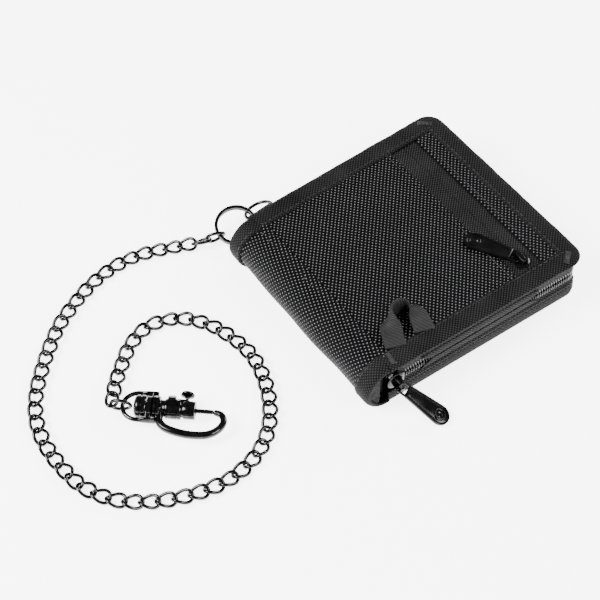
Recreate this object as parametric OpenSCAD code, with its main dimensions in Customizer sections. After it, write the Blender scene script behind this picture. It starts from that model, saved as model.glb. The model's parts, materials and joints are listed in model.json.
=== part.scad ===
// Chain wallet: a folded ballistic-nylon wallet with two zips, a ribbon loop,
// and a curb chain that ends in a swivel bolt snap. Millimetres, +Z up.
// The closed wallet lies flat. +X runs from the fold (spine) to the open edge,
// +Y to the back edge. The origin is under the middle of the rear panel, on the table.

/* [Wallet] */
// Flat width of a panel, from the fold line to the open edge
panel_w = 103; // [95:1:112]
// Size of the closed wallet along the spine
panel_l = 104; // [96:1:112]
// Thickness of the closed wallet
wallet_t = 23.5; // [23.5:0.5:26]
// How far the back edge is pulled in at the spine
spine_pull = 4.5; // [0:0.5:6]
// Radius of the two outer corners
corner_r = 8; // [5:0.5:12]
// Visible width of the binding tape
binding_w = 7.8; // [6:0.2:10]

/* [Outer pocket] */
// Distance from the fold line to the zip of the outer pocket
pocket_zip_x = 80; // [70:1:84]
// Width of the zip window between pocket panel and edge strip
zip_window = 14; // [12:0.5:16]

/* [Hardware] */
// Centreline radius of the small ring in the tab
tab_ring_r = 6.4; // [6:0.1:7]
// Centreline radius of the split ring
split_ring_r = 8.8; // [8.6:0.1:9]
// Wire diameter of the chain
chain_wire = 1.4; // [1.2:0.05:1.5]
// Spacing of the links along the chain
link_pitch = 6.56; // [6.55:0.01:6.57]
// Number of links, without the one through the bail
link_count = 62; // [60:1:62]
// Travel of the bolt in the snap
bolt_travel = 5.8; // [4:0.2:5.8]

/* [Hidden] */

// Edges of the closed wallet
fold_x = -46;
open_x = fold_x + panel_w;
front_y = -52.5;
back_y = front_y + panel_l + 0.5;
eps = 0.01;
past = 4;            // how far a cutter runs past what it cuts
arc_steps = 8;

// Heights of the rear half, from the table up
skin_t = 0.8;
sheet_t = 0.6;
board_t = 1.0;
gap = 0.12;
rear_wall_h = 7.0;
rim_t = 0.7;         // thinner edge of a sheet, under the binding
rear_edge_z = skin_t + gap;
rear_board_z = rear_edge_z + rim_t + gap;
rear_lining_z = rear_board_z + board_t + gap;
divider_z = 8.0;
pocket_step = 0.75;
pocket_sheet_t = 0.5;

// Heights of the front half, from the top down
front_top = wallet_t;
front_skin_z = front_top - skin_t;
outer_sheet_z = front_skin_z - gap - rim_t;
pocket_tape_t = 0.5;
pocket_tape_z = outer_sheet_z - gap - pocket_tape_t;
pocket_coil_z = pocket_tape_z - 1.1;
backing_z = pocket_coil_z - 1.6;
front_board_z = backing_z - gap - board_t;
front_lining_z = front_board_z - gap - sheet_t;
front_wall_z = 17.5;

// Edge zip: the two coil rows leave a channel for the slider's post
zip_mid_z = 13.3;
zip_channel = 1.4;
coil_h = 1.4;
coil_low_z = zip_mid_z - zip_channel / 2 - coil_h;
coil_high_z = zip_mid_z + zip_channel / 2;
tape_in = 1.1;       // inset of the tape wall from the outline
tape_t = 0.7;
coil_in = 0.35;
coil_t = 1.9;
inner_in = 2.0;      // inset of everything inside the tape wall
front_out = 1.0;     // how far the front binding overhangs
zip_start_x = fold_x + 8;
tab_room = 16;       // length of the back edge left free of coil for the tab

// Spine: a half round about the fold axis
spine_z = wallet_t / 2;
spine_r = spine_z - 0.65;
spine_t = 0.8;
spine_back_y = back_y - spine_pull - 0.4;

black = [0.035, 0.035, 0.038];
dark = [0.06, 0.06, 0.065];
metal = [0.16, 0.165, 0.175];

// ---------- outlines of the flat panels ----------

function arc_pts(cx, cy, r, a0, a1) =
    [for (i = [0 : arc_steps]) let (a = a0 + (a1 - a0) * i / arc_steps)
        [cx + r * cos(a), cy + r * sin(a)]];

// Back edge at x: straight, pulled in towards the spine
function back_at(x) = back_y - spine_pull * (open_x - x) / panel_w;

// Closed outline of a panel, inset from the full size, left end at x0
function panel_pts(inset, x0 = fold_x) =
    let (r = max(corner_r - inset, 1.5))
    concat(
        [[x0, front_y + inset]],
        arc_pts(open_x - inset - r, front_y + inset + r, r, -90, 0),
        arc_pts(open_x - inset - r, back_y - inset - r, r, 0, 90),
        [[x0, back_at(x0) - inset]]
    );

module slab(inset, z, h, x0 = fold_x) {
    translate([0, 0, z]) linear_extrude(h) polygon(panel_pts(inset, x0));
}

// A wall that follows three edges of the outline and is open at the spine
module edge_wall(inset, t, z, h, x0 = fold_x) {
    difference() {
        slab(inset, z, h, x0);
        slab(inset + t, z - 1, h + 2, x0 - past);
    }
}

// ---------- rear half ----------

module rear_panel() {
    color(black) union() {
        slab(binding_w + gap, 0, skin_t + gap + eps);
        slab(skin_t + gap, rear_edge_z, rim_t);
    }
}

module rear_stiffener() {
    color("dimgray") slab(inner_in + 0.4, rear_board_z, board_t, fold_x + 2);
}

module rear_lining() {
    color(dark) slab(inner_in, rear_lining_z, sheet_t, fold_x + 1);
}

module rear_binding() {
    color(black) union() {
        edge_wall(0, skin_t, 0, rear_wall_h);
        edge_wall(skin_t - eps, binding_w - skin_t, 0, skin_t);
    }
}

module half_round(r, t, y0, y1) {
    translate([fold_x, y1, spine_z]) rotate([90, 0, 0]) linear_extrude(y1 - y0)
        intersection() {
            difference() {
                circle(r = r, $fn = 96);
                circle(r = r - t, $fn = 96);
            }
            translate([-2 * r, -r]) square([2 * r - gap, 2 * r]);
        }
}

module spine_panel() {
    color(black) half_round(spine_r, spine_t, front_y + 1, spine_back_y - 1);
}

module spine_bindings() {
    color(black) union() {
        half_round(spine_z, spine_z - spine_r - gap, front_y, front_y + binding_w);
        half_round(spine_z, spine_z - spine_r - gap, spine_back_y - binding_w, spine_back_y);
    }
}

module edge_zip_tape_lower() {
    color(dark) edge_wall(tape_in, tape_t, rear_board_z, coil_low_z - rear_board_z, zip_start_x - 3);
}

// The coils stop short of the ring tab at the back, which goes in between the tapes
module coil_row(z) {
    difference() {
        edge_wall(coil_in, coil_t, z, coil_h - gap, zip_start_x);
        translate([zip_start_x - past, 0, z - 1]) cube([tab_room, panel_l, coil_h + 2]);
    }
}

module edge_zip_coil_lower() {
    color(dark) coil_row(coil_low_z + gap);
}

module edge_zip_stops() {
    stop = [1.6, coil_t, 1.2];
    back_stop_x = zip_start_x - past + tab_room - 2.2;
    color(metal) for (p = [[zip_start_x - 2.2, front_y + coil_in],
                           [back_stop_x, back_at(back_stop_x) - stop[1] - coil_in]])
        translate([p[0], p[1], coil_low_z + gap]) cube(stop);
}

module bill_divider() {
    color(dark) slab(inner_in + 0.3, divider_z, pocket_sheet_t, fold_x + 6);
}

// A card pocket is a flat sheet on the divider. Its mouth faces the open edge.
module card_pocket(level, mouth_x) {
    translate([fold_x + 8, front_y + 5, divider_z + pocket_step * level])
        cube([mouth_x, panel_l - 14, pocket_sheet_t]);
}

module card_pocket_high() { color(dark) card_pocket(1, 80); }
module card_pocket_mid() { color(dark) card_pocket(2, 66); }
module card_pocket_low() { color(dark) card_pocket(3, 52); }

// ---------- tab and rings ----------

// Pose of the small ring: centre and the two turns of its axis
tab_ring_pos = [-33.2, 59.7, 8.4];
tab_ring_turn = [0, 27.5, 109];
tab_ring_wire = 0.8;
tab_w = 12;          // before its sides are trimmed
tab_left = [-38.6, -35.4];   // left edge at the wallet and at the ring
tab_right = -28.5;
tab_layer = 0.7;
tab_room_r = 1.15;   // inner radius of the tab's fold, round the ring's wire
tab_facing = 158.8;  // turn about the ring's axis that faces the wallet
tab_fold = 3.55;     // distance from the ring's centre to the middle of the fold
tab_meet = 9.8;      // where the two layers meet
tab_seam = [13.7, -1.2];

// Side view of the tab: x towards the wallet, y along the ring's axis
module tab_profile() {
    outer_r = tab_room_r + tab_layer;
    difference() {
        union() {
            translate([tab_fold, 0]) circle(r = outer_r, $fn = 48);
            polygon([
                [tab_fold, -outer_r], [7.6, -outer_r], [tab_meet, -tab_layer - 0.2],
                [tab_seam[0], tab_seam[1] - tab_layer], [tab_seam[0], tab_seam[1] + tab_layer],
                [tab_meet, tab_layer - 0.2], [7.6, outer_r], [tab_fold, outer_r]
            ]);
        }
        translate([tab_fold, 0]) circle(r = tab_room_r, $fn = 48);
        polygon([
            [tab_fold, -tab_room_r], [7.5, -tab_room_r], [tab_meet - 0.6, -0.2],
            [7.5, tab_room_r], [tab_fold, tab_room_r]
        ]);
    }
}

module ring_tab() {
    color(black) intersection() {
        translate(tab_ring_pos) rotate(tab_ring_turn) rotate([90, 0, tab_facing])
            translate([0, 0, -tab_w / 2]) linear_extrude(tab_w) tab_profile();
        linear_extrude(wallet_t) polygon([
            [tab_left[0], 40], [tab_left[0], 50], [tab_left[1], 58.5],
            [tab_left[1], 64], [tab_right, 64], [tab_right, 40]
        ]);
    }
}

module tab_ring() {
    color(metal) translate(tab_ring_pos) rotate(tab_ring_turn)
        rotate_extrude($fn = 96) translate([tab_ring_r, 0]) circle(r = tab_ring_wire, $fn = 32);
}

split_ring_pos = [-45.5, 59.7, 6.4];
split_ring_turn = [0, 16, 238.4];
split_ring_w = 1.6;
split_ring_h = 2.8;

module split_ring() {
    round_r = 0.5;
    color(metal) translate(split_ring_pos) rotate(split_ring_turn)
        rotate_extrude($fn = 96) translate([split_ring_r, 0]) union() {
            square([split_ring_w, split_ring_h - 2 * round_r], center = true);
            square([split_ring_w - 2 * round_r, split_ring_h], center = true);
            for (x = [-1, 1], y = [-1, 1])
                translate([x * (split_ring_w / 2 - round_r), y * (split_ring_h / 2 - round_r)])
                    circle(r = round_r, $fn = 24);
        }
}

// ---------- front half ----------

pocket_mid_x = fold_x + pocket_zip_x;
pocket_edge_x = pocket_mid_x - zip_window / 2;
strip_edge_x = pocket_mid_x + zip_window / 2;

module front_panel() {
    color(dark) slab(inner_in, backing_z, sheet_t, fold_x + 1);
}

module front_stiffener() {
    color("dimgray") slab(inner_in + 0.4, front_board_z, board_t, fold_x + 2);
}

module front_lining() {
    color(dark) slab(inner_in, front_lining_z, sheet_t, fold_x + 1);
}

module front_binding() {
    color(black) union() {
        edge_wall(-front_out, skin_t, front_wall_z, front_top - front_wall_z);
        edge_wall(skin_t - front_out - eps, binding_w + front_out - skin_t, front_skin_z, skin_t);
    }
}

module outer_sheet(x0, x1) {
    intersection() {
        slab(tape_in, outer_sheet_z, rim_t);
        translate([x0, front_y, outer_sheet_z - 1]) cube([x1 - x0, panel_l + 1, 3]);
    }
}

module outer_pocket_panel() { color(black) outer_sheet(fold_x, pocket_edge_x); }
module outer_strip() { color(black) outer_sheet(strip_edge_x, open_x); }

pocket_zip_y0 = front_y + binding_w - 3;
pocket_zip_y1 = back_at(pocket_mid_x) - binding_w + 3;

module zip_strip(x0, w, z, h) {
    translate([x0, pocket_zip_y0, z]) cube([w, pocket_zip_y1 - pocket_zip_y0, h]);
}

module pocket_zip_tapes() {
    w = zip_window / 2 + 2 - zip_channel / 2;
    color(dark) union() {
        zip_strip(pocket_mid_x - zip_channel / 2 - w, w, pocket_tape_z, pocket_tape_t);
        zip_strip(pocket_mid_x + zip_channel / 2, w, pocket_tape_z, pocket_tape_t);
    }
}

module pocket_zip_coils() {
    w = 2.1;
    color(dark) union() {
        zip_strip(pocket_mid_x - zip_channel / 2 - w, w, pocket_coil_z, 1.0);
        zip_strip(pocket_mid_x + zip_channel / 2, w, pocket_coil_z, 1.0);
    }
}

module pocket_zip_stops() {
    color(metal) for (x = [-1, 1], y = [pocket_zip_y0 + 1, pocket_zip_y1 - 2.6])
        translate([pocket_mid_x + x * 2.2 - 0.9, y, pocket_tape_z + pocket_tape_t + eps]) cube([1.8, 1.6, 0.5]);
}

module edge_zip_tape_upper() {
    z = coil_high_z + coil_h;
    color(dark) edge_wall(tape_in, tape_t, z, outer_sheet_z - gap - z, zip_start_x - 3);
}

module edge_zip_coil_upper() {
    color(dark) coil_row(coil_high_z);
}

window_x = fold_x + 14;
window_w = 74;
window_l = 62;
window_frame = 8;

module id_window() {
    color([0.8, 0.85, 0.9, 0.35]) translate([window_x, -window_l / 2 - 2, front_lining_z - 1.0])
        cube([window_w, window_l, 0.25]);
}

module id_window_frame() {
    z = front_lining_z - 0.62;
    color(dark) difference() {
        translate([window_x - 2, -window_l / 2 - 4, z]) cube([window_w + 4, window_l + 4, 0.5]);
        translate([window_x + window_frame - 2, -window_l / 2 + window_frame - 4, z - 1])
            cube([window_w - 2 * window_frame + 4, window_l - 2 * window_frame + 4, 3]);
    }
}

// ---------- ribbon loop ----------

// The ribbon leaves the front binding, stands on edge at the back and returns.
// Each row: centre point, then the direction of the ribbon's width.
loop_w = 9;
loop_t = 0.9;
loop_path = [
    [[-37.5, -43.9, 23.5], [1, 0, 0.05]],
    [[-38.0, -41.2, 25.6], [0.95, 0.15, 0.28]],
    [[-38.6, -37.4, 27.6], [0.72, 0.3, 0.62]],
    [[-37.0, -33.8, 28.8], [0.35, 0.3, 0.88]],
    [[-33.2, -31.4, 29.3], [0.08, 0.3, 0.95]],
    [[-28.8, -31.0, 29.4], [-0.08, 0.3, 0.95]],
    [[-24.6, -32.8, 29.2], [-0.4, 0.3, 0.86]],
    [[-22.0, -36.4, 28.2], [-0.72, 0.25, 0.64]],
    [[-21.2, -40.4, 26.0], [-0.95, 0.1, 0.3]],
    [[-21.6, -43.9, 23.5], [-1, 0, 0.05]]
];

function unit(v) = v / norm(v);

// Four corners of the ribbon's section at row i
function loop_ring(i) =
    let (
        n = len(loop_path),
        c = loop_path[i][0],
        ahead = unit(loop_path[min(i + 1, n - 1)][0] - loop_path[max(i - 1, 0)][0]),
        w0 = unit(loop_path[i][1]),
        w = unit(w0 - ahead * (w0 * ahead)),
        n_dir = cross(ahead, w)
    )
    [
        c + w * loop_w / 2 + n_dir * loop_t / 2,
        c - w * loop_w / 2 + n_dir * loop_t / 2,
        c - w * loop_w / 2 - n_dir * loop_t / 2,
        c + w * loop_w / 2 - n_dir * loop_t / 2
    ];

// Closed skin over rings of k points each
module skin(rings, k) {
    n = len(rings);
    pts = [for (r = rings) for (p = r) p];
    sides = [for (i = [0 : n - 2], j = [0 : k - 1])
        [i * k + j, i * k + (j + 1) % k, (i + 1) * k + (j + 1) % k, (i + 1) * k + j]];
    tris = [for (f = sides, s = [0, 1]) s == 0 ? [f[0], f[1], f[2]] : [f[0], f[2], f[3]]];
    first = [for (j = [k - 1 : -1 : 0]) j];
    last = [for (j = [0 : k - 1]) (n - 1) * k + j];
    polyhedron(points = pts, faces = concat([first], tris, [last]));
}

module ribbon_loop() {
    color(black) skin([for (i = [0 : len(loop_path) - 1]) loop_ring(i)], 4);
}

// ---------- zip sliders and pullers ----------

slider_l = 8.6;
slider_w = 8.4;
plate_t = 0.7;
bridge_w = 1.6;
bridge_l = 6.6;
bridge_bar = 0.8;
eye_r = 0.55;        // radius of the puller's bar inside the bridge
pocket_rise = 2.0;   // clear height under the pocket slider's bridge
edge_rise = 3.6;     // the same under the edge slider's, whose puller hangs askew

slider_nose = 6.0;   // width of the plates at the narrow end
post_x = -2.8;
post_l = 2.2;

// Slider whose upper plate stands on z = 0; the zip runs along X.
// depth is the clear space between its plates.
module slider(depth, rise, turn) {
    linear_extrude(plate_t) polygon(concat(
        arc_pts(-slider_l / 2 + slider_w / 2, 0, slider_w / 2, 100, 260),
        [[slider_l / 2, -slider_nose / 2], [slider_l / 2, slider_nose / 2]]
    ));
    translate([post_x - post_l / 2, -zip_channel / 2 + 0.1, -depth - eps])
        cube([post_l, zip_channel - 0.2, depth + 2 * eps]);
    translate([-slider_l / 2, -slider_nose / 2, -depth - plate_t])
        cube([slider_l, slider_nose, plate_t]);
    rotate([0, 0, turn]) slider_bridge(rise);
}

// Arch over the puller's bar
module slider_bridge(rise) {
    foot = 1.1;
    for (x = [-bridge_l / 2, bridge_l / 2 - foot])
        translate([x, -bridge_w / 2, plate_t - eps]) cube([foot, bridge_w, rise + 2 * eps]);
    translate([-bridge_l / 2, -bridge_w / 2, plate_t + rise]) cube([bridge_l, bridge_w, bridge_bar]);
}

puller_l = 20.5;     // bar to the middle of the round end
puller_w = 6.4;
puller_arm = 1.05;
puller_end_r = 4.6;
puller_t = 1.5;
eye_l = 4.6;         // from the bar to the solid part
recess = 0.35;

// Flat puller along +X. Its bar lies on the Y axis at the origin.
module puller() {
    difference() {
        union() {
            for (y = [-puller_w / 2, puller_w / 2 - puller_arm])
                translate([0, y, -eye_r]) cube([eye_l + 1, puller_arm, 2 * eye_r]);
            translate([eye_l, -puller_w / 2, -puller_t / 2]) cube([puller_l - eye_l, puller_w, puller_t]);
            translate([puller_l, 0, -puller_t / 2]) cylinder(r = puller_end_r, h = puller_t, $fn = 64);
        }
        translate([puller_l, 0, puller_t / 2 - recess]) cylinder(r = 3.1, h = 1, $fn = 48);
        translate([7.4, -1.6, puller_t / 2 - recess]) cube([7.2, 3.2, 1]);
    }
    rotate([90, 0, 0]) cylinder(r = eye_r, h = puller_w, center = true, $fn = 32);
}

// Pocket slider: near the front end of its zip, puller turned towards the spine
pocket_slider_y = -38.2;
pocket_plate_z = pocket_tape_z + pocket_tape_t + 0.15;
pocket_slider_depth = pocket_plate_z - pocket_coil_z + 0.15;
pocket_puller_yaw = 118;
pocket_bar = [pocket_mid_x, pocket_slider_y + 0.6, pocket_plate_z + plate_t + pocket_rise / 2];
pocket_puller_pitch = 0.4;

module pocket_slider() {
    color(metal) translate([pocket_mid_x, pocket_slider_y, pocket_plate_z]) rotate([0, 0, 90])
        slider(pocket_slider_depth, pocket_rise, 0);
}

module pocket_puller() {
    color(metal) translate(pocket_bar) rotate([0, pocket_puller_pitch, pocket_puller_yaw]) puller();
}

// Edge slider: at the closed end of the edge zip, by the spine
edge_slider_x = zip_start_x - 4.6;
edge_plate_y = front_y + coil_in - 0.2;
edge_slider_depth = coil_t + 0.45;
edge_puller_yaw = -62;
edge_puller_pitch = 27;
edge_bar = [edge_slider_x, edge_plate_y - plate_t - edge_rise / 2 - 0.2, zip_mid_z - 0.6];

module edge_slider() {
    color(metal) translate([edge_slider_x, edge_plate_y, zip_mid_z]) rotate([90, 0, 0])
        slider(edge_slider_depth, edge_rise, 90);
}

module edge_puller() {
    color(metal) translate(edge_bar) rotate([0, edge_puller_pitch, edge_puller_yaw]) puller();
}

// ---------- chain ----------

// Route of the chain's middle line, from the split ring to the snap
route = [
    [-55.9, 60.7, 4.7], [-62.2, 63.2, 3.1], [-72.8, 67.9, 2.8], [-84.8, 72.3, 2.8],
    [-98, 73.8, 2.8], [-111.5, 71.5, 2.8], [-123.7, 66.5, 2.8], [-135.4, 60, 2.8],
    [-145.1, 52, 2.8], [-154.5, 42.8, 2.8], [-162.8, 33, 2.8], [-168.9, 22, 2.8],
    [-171.8, 10, 2.8], [-172, -2.7, 2.8], [-170, -15.6, 2.8], [-164, -27, 2.8],
    [-155.2, -35.3, 2.8], [-143.9, -41.6, 2.8], [-131.5, -45.6, 2.8], [-118.4, -46.8, 2.8],
    [-105.4, -43.6, 2.8], [-94.8, -36.6, 2.8], [-87, -26.6, 2.8], [-81.4, -14.6, 2.8],
    [-78.6, -1.6, 2.8], [-80, 11, 2.8], [-84.4, 23.2, 2.8], [-92.6, 32.8, 2.8],
    [-105, 37, 2.8], [-117, 33, 2.8], [-127, 24.8, 2.8], [-133.6, 18.2, 3.2],
    [-139.2, 11.4, 4.9], [-141.2, 9, 5.2]
];
spans = len(route) - 1;
fine = 6;            // steps on each span of the route

// Point on a smooth curve through the route, at span i and share u
function route_at(i, u) =
    let (
        a = route[max(i - 1, 0)], b = route[i],
        c = route[i + 1], d = route[min(i + 2, spans)]
    )
    0.5 * (2 * b + (c - a) * u + (2 * a - 5 * b + 4 * c - d) * u * u
        + (3 * b - a - 3 * c + d) * u * u * u);

curve = [for (i = [0 : spans - 1], k = [0 : fine - 1]) route_at(i, k / fine), route[spans]];
steps = [for (i = [1 : len(curve) - 1]) norm(curve[i] - curve[i - 1])];

// Distance along the curve to each of its points
function running(v, i = 0, sum = 0) =
    i == len(v) ? [sum] : concat([sum], running(v, i + 1, sum + v[i]));

along = running(steps);
function table(axis) = [for (i = [0 : len(curve) - 1]) [along[i], curve[i][axis]]];
xs = table(0);
ys = table(1);
zs = table(2);
function chain_at(s) = [lookup(s, xs), lookup(s, ys), lookup(s, zs)];

// Oval link, flat in XY and long along X
link_half = (link_pitch + chain_wire + 0.2) / 2;   // centre to the end of the centreline
link_bend = 2.75;                                  // centreline radius of an end

module link() {
    straight = link_half - link_bend;
    for (s = [-1, 1]) {
        translate([s * straight, 0, 0]) rotate([0, 0, -90 * s])
            rotate_extrude(angle = 180, $fn = 48) translate([link_bend, 0]) circle(d = chain_wire, $fn = 24);
        translate([-straight, s * link_bend, 0]) rotate([0, 90, 0])
            cylinder(d = chain_wire, h = 2 * straight, $fn = 24);
    }
}

// Links slant left and right by turns. The end ones turn to suit the ring and the last link.
function link_roll(i) =
    i == 0 ? 90 : i == 1 ? 22 :
    i == link_count - 1 ? 8 : i == link_count - 2 ? -62 :
    i % 2 == 0 ? -45 : 45;

module chain_links() {
    color(metal) for (i = [0 : link_count - 1]) {
        s = i * link_pitch;
        p = chain_at(s);
        d = chain_at(min(s + 1, along[len(along) - 1])) - chain_at(max(s - 1, 0));
        translate(p) rotate([0, -asin(d[2] / norm(d)), atan2(d[1], d[0])])
            rotate([link_roll(i), 0, 0]) link();
    }
}

// The last link stands upright across the bail's wire
module end_link() {
    color(metal) place_snap() translate([end_link_x, 0, 0]) rotate([90, 0, 0]) link();
}

// ---------- swivel bolt snap ----------

// The snap lies flat. Its own X runs from the bail to the hook's tip.
snap_pos = [-138.0, 6.9, 5.3];
snap_turn = -41;
bail_wire = 0.95;
end_link_x = 0.2;
bail_r = 6.6;
bail_bar_x = 11.2;
bail_bar_t = 2.2;
stem_r = 1.7;
bore_r = 2.3;
bolt_r = 2.22;
rod_r = 0.95;
barrel_r = 4.2;
collar_r = 4.9;
neck_r = 3.6;
knob_x = 26.9;
knob_angle = 5;      // from the hook's plane, about the snap's axis
rest_angle = 50;     // of the thumb rest, clear of the knob's way
bore_x = 17.4;       // the bolt's bore, from the spring's seat to the cap
bore_end_x = 28.3;
piston_x = 25.6;
piston_end_x = 28.2;
knob_z = 6.6;        // from the axis to the underside of the knob

module place_snap() {
    translate(snap_pos) rotate([0, 0, snap_turn]) children();
}

// Cylinder along X from x0 to x1
module along_x(r, x0, x1, fn = 64) {
    translate([x0, 0, 0]) rotate([0, 90, 0]) cylinder(r = r, h = x1 - x0, $fn = fn);
}

module snap_bail() {
    color(metal) place_snap() difference() {
        union() {
            translate([bail_r + bail_wire, 0, 0]) rotate([0, 0, 90])
                rotate_extrude(angle = 180, $fn = 64) translate([bail_r, 0]) circle(r = bail_wire, $fn = 32);
            for (s = [-1, 1]) translate([bail_r + bail_wire, s * bail_r, 0]) rotate([0, 90, 0])
                cylinder(r = bail_wire, h = bail_bar_x + bail_bar_t - bail_r - bail_wire, $fn = 32);
            translate([bail_bar_x, -bail_r, -1.9]) cube([bail_bar_t, 2 * bail_r, 3.8]);
            along_x(4.6, bail_bar_x, bail_bar_x + bail_bar_t);
        }
        along_x(stem_r + 0.08, bail_bar_x - past, bail_bar_x + past);
    }
}

// Rivet: a domed head inside the bail and a stem into the body
module swivel_rivet() {
    color(metal) place_snap() union() {
        along_x(4.8, 6.4, 10.0);
        along_x(3.9, 5.7, 6.4 + eps);
        along_x(stem_r, 10 - eps, 16);
    }
}

// Turned body with collar, barrel and cap, bored for the bolt
module snap_body() {
    slot_w = 1.9;
    rest = [3.3, 1.7, 3.2];
    color(metal) place_snap() difference() {
        union() {
            along_x(collar_r, 13.7, 16.6);
            along_x(neck_r, 16.6 - eps, 18.6 + eps);
            along_x(barrel_r, 18.6, 25.2);
            along_x(3.3, 25.2 - eps, 26.2 + eps);
            along_x(3.8, 26.2, 31);
            rotate([rest_angle, 0, 0]) translate([19.6, barrel_r - 0.4, -rest[2] / 2]) cube(rest);
        }
        along_x(stem_r + 0.02, 13, 16 + 0.1);
        along_x(bore_r, bore_x, bore_end_x);
        along_x(rod_r + 0.06, bore_end_x - eps, 32);
        rotate([knob_angle - 90, 0, 0]) translate([knob_x - bolt_travel - slot_w / 2, -slot_w / 2, 0])
            cube([bolt_travel + slot_w, slot_w, 6]);
    }
}

// Middle line of the hook, from the body round to the tip
hook_path = [
    [16.4, -4.3], [17.2, -7.2], [20, -9.6], [25, -11.2], [30.7, -11.9], [36.8, -11.3],
    [41, -8.7], [43, -4.8], [41.9, -1.3], [38.9, 0]
];
hook_w = 2.9;
hook_t = 3.0;
hook_spans = len(hook_path) - 1;

function hook_at(i, u) =
    let (
        a = hook_path[max(i - 1, 0)], b = hook_path[i],
        c = hook_path[i + 1], d = hook_path[min(i + 2, hook_spans)]
    )
    0.5 * (2 * b + (c - a) * u + (2 * a - 5 * b + 4 * c - d) * u * u
        + (3 * b - a - 3 * c + d) * u * u * u);

hook_line = [for (i = [0 : hook_spans - 1], k = [0 : 3]) hook_at(i, k / 4), hook_path[hook_spans]];

function hook_side(i, s) =
    let (
        n = len(hook_line) - 1,
        d = unit(hook_line[min(i + 1, n)] - hook_line[max(i - 1, 0)])
    )
    hook_line[i] + s * hook_w / 2 * [-d[1], d[0]];

module snap_hook() {
    n = len(hook_line) - 1;
    color(metal) place_snap() translate([0, 0, -hook_t / 2]) difference() {
        linear_extrude(hook_t) polygon(concat(
            [for (i = [0 : n]) hook_side(i, 1)],
            [for (i = [n : -1 : 0]) hook_side(i, -1)]
        ));
        translate([0, 0, hook_t / 2]) along_x(collar_r + gap, 10, 16.6 + gap);
        translate([0, 0, hook_t / 2]) along_x(neck_r + gap, 16, 18.6 + gap);
        translate([0, 0, hook_t / 2]) along_x(rod_r + 0.08, 36, 38.9);
    }
}

module snap_bolt() {
    color(metal) place_snap() difference() {
        union() {
            along_x(bolt_r, piston_x, piston_end_x);
            along_x(rod_r, piston_end_x - eps, 38.4, 48);
        }
        rotate([knob_angle - 90, 0, 0]) translate([knob_x, 0, 0.6])
            cylinder(r = 0.62, h = 4, $fn = 32);
    }
}

module bolt_knob() {
    color(metal) place_snap() rotate([knob_angle - 90, 0, 0]) translate([knob_x, 0, 0]) union() {
        translate([0, 0, 0.7]) cylinder(r = 0.6, h = knob_z - 0.7, $fn = 32);
        translate([0, 0, knob_z - 0.6]) cylinder(r = 1.6, h = 0.6 + eps, $fn = 48);
        translate([0, 0, knob_z]) cylinder(r = 2.8, h = 1.1, $fn = 48);
    }
}

// Compression spring behind the bolt: one ring for each coil
module bolt_spring() {
    coils = 6;
    spring_r = 1.8;
    wire_r = 0.2;
    first = bore_x + 0.1 + wire_r;
    step = (piston_x - 0.2 - wire_r - first) / (coils - 1);
    color(metal) place_snap() for (i = [0 : coils - 1])
        translate([first + i * step, 0, 0]) rotate([0, 90, 0])
            rotate_extrude($fn = 48) translate([spring_r, 0]) circle(r = wire_r, $fn = 16);
}

rear_panel();
rear_stiffener();
rear_lining();
rear_binding();
spine_panel();
spine_bindings();
edge_zip_tape_lower();
edge_zip_coil_lower();
edge_zip_stops();
bill_divider();
card_pocket_high();
card_pocket_mid();
card_pocket_low();
ring_tab();
front_panel();
front_stiffener();
front_lining();
front_binding();
outer_pocket_panel();
outer_strip();
pocket_zip_tapes();
pocket_zip_coils();
pocket_zip_stops();
edge_zip_tape_upper();
edge_zip_coil_upper();
id_window();
id_window_frame();
ribbon_loop();
pocket_slider();
pocket_puller();
edge_slider();
edge_puller();
tab_ring();
split_ring();
chain_links();
end_link();
snap_bail();
swivel_rivet();
snap_body();
snap_hook();
snap_bolt();
bolt_knob();
bolt_spring();
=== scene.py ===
"""Looks of the chain wallet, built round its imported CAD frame.

Shapes are worked out in millimetres in the frame's own axes: +X from the fold to the open edge, +Y along the
spine, +Z up. mesh_object() turns them into metres.
"""

import json
import math

import bpy
import numpy as np
from mathutils import Matrix, Vector


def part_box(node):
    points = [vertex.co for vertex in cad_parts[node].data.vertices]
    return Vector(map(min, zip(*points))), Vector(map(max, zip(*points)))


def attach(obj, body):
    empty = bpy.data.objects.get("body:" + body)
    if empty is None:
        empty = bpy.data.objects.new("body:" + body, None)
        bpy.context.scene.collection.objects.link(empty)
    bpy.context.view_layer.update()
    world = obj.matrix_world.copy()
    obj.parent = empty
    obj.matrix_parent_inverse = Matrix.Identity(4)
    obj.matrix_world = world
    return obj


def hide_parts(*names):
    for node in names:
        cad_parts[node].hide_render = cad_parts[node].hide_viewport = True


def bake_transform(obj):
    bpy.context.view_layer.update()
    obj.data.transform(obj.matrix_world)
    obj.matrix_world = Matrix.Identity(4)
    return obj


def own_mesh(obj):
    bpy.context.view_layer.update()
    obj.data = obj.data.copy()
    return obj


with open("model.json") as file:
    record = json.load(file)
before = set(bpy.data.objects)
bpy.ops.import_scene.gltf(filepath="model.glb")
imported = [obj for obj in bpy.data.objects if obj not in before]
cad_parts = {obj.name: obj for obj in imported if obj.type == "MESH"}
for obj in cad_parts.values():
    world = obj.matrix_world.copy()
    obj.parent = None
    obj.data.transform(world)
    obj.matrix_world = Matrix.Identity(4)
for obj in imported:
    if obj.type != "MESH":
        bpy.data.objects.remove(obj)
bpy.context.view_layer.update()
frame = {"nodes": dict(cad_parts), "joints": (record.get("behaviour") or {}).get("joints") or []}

MM = 0.001
TAU = 2 * math.pi
JOINTS = {j["name"]: j for j in frame["joints"]}
scene = bpy.context.scene


def low(node):
    """Lowest corner of a CAD node, in millimetres."""
    return np.array(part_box(node)[0]) / MM


def high(node):
    """Highest corner of a CAD node, in millimetres."""
    return np.array(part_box(node)[1]) / MM


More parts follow.
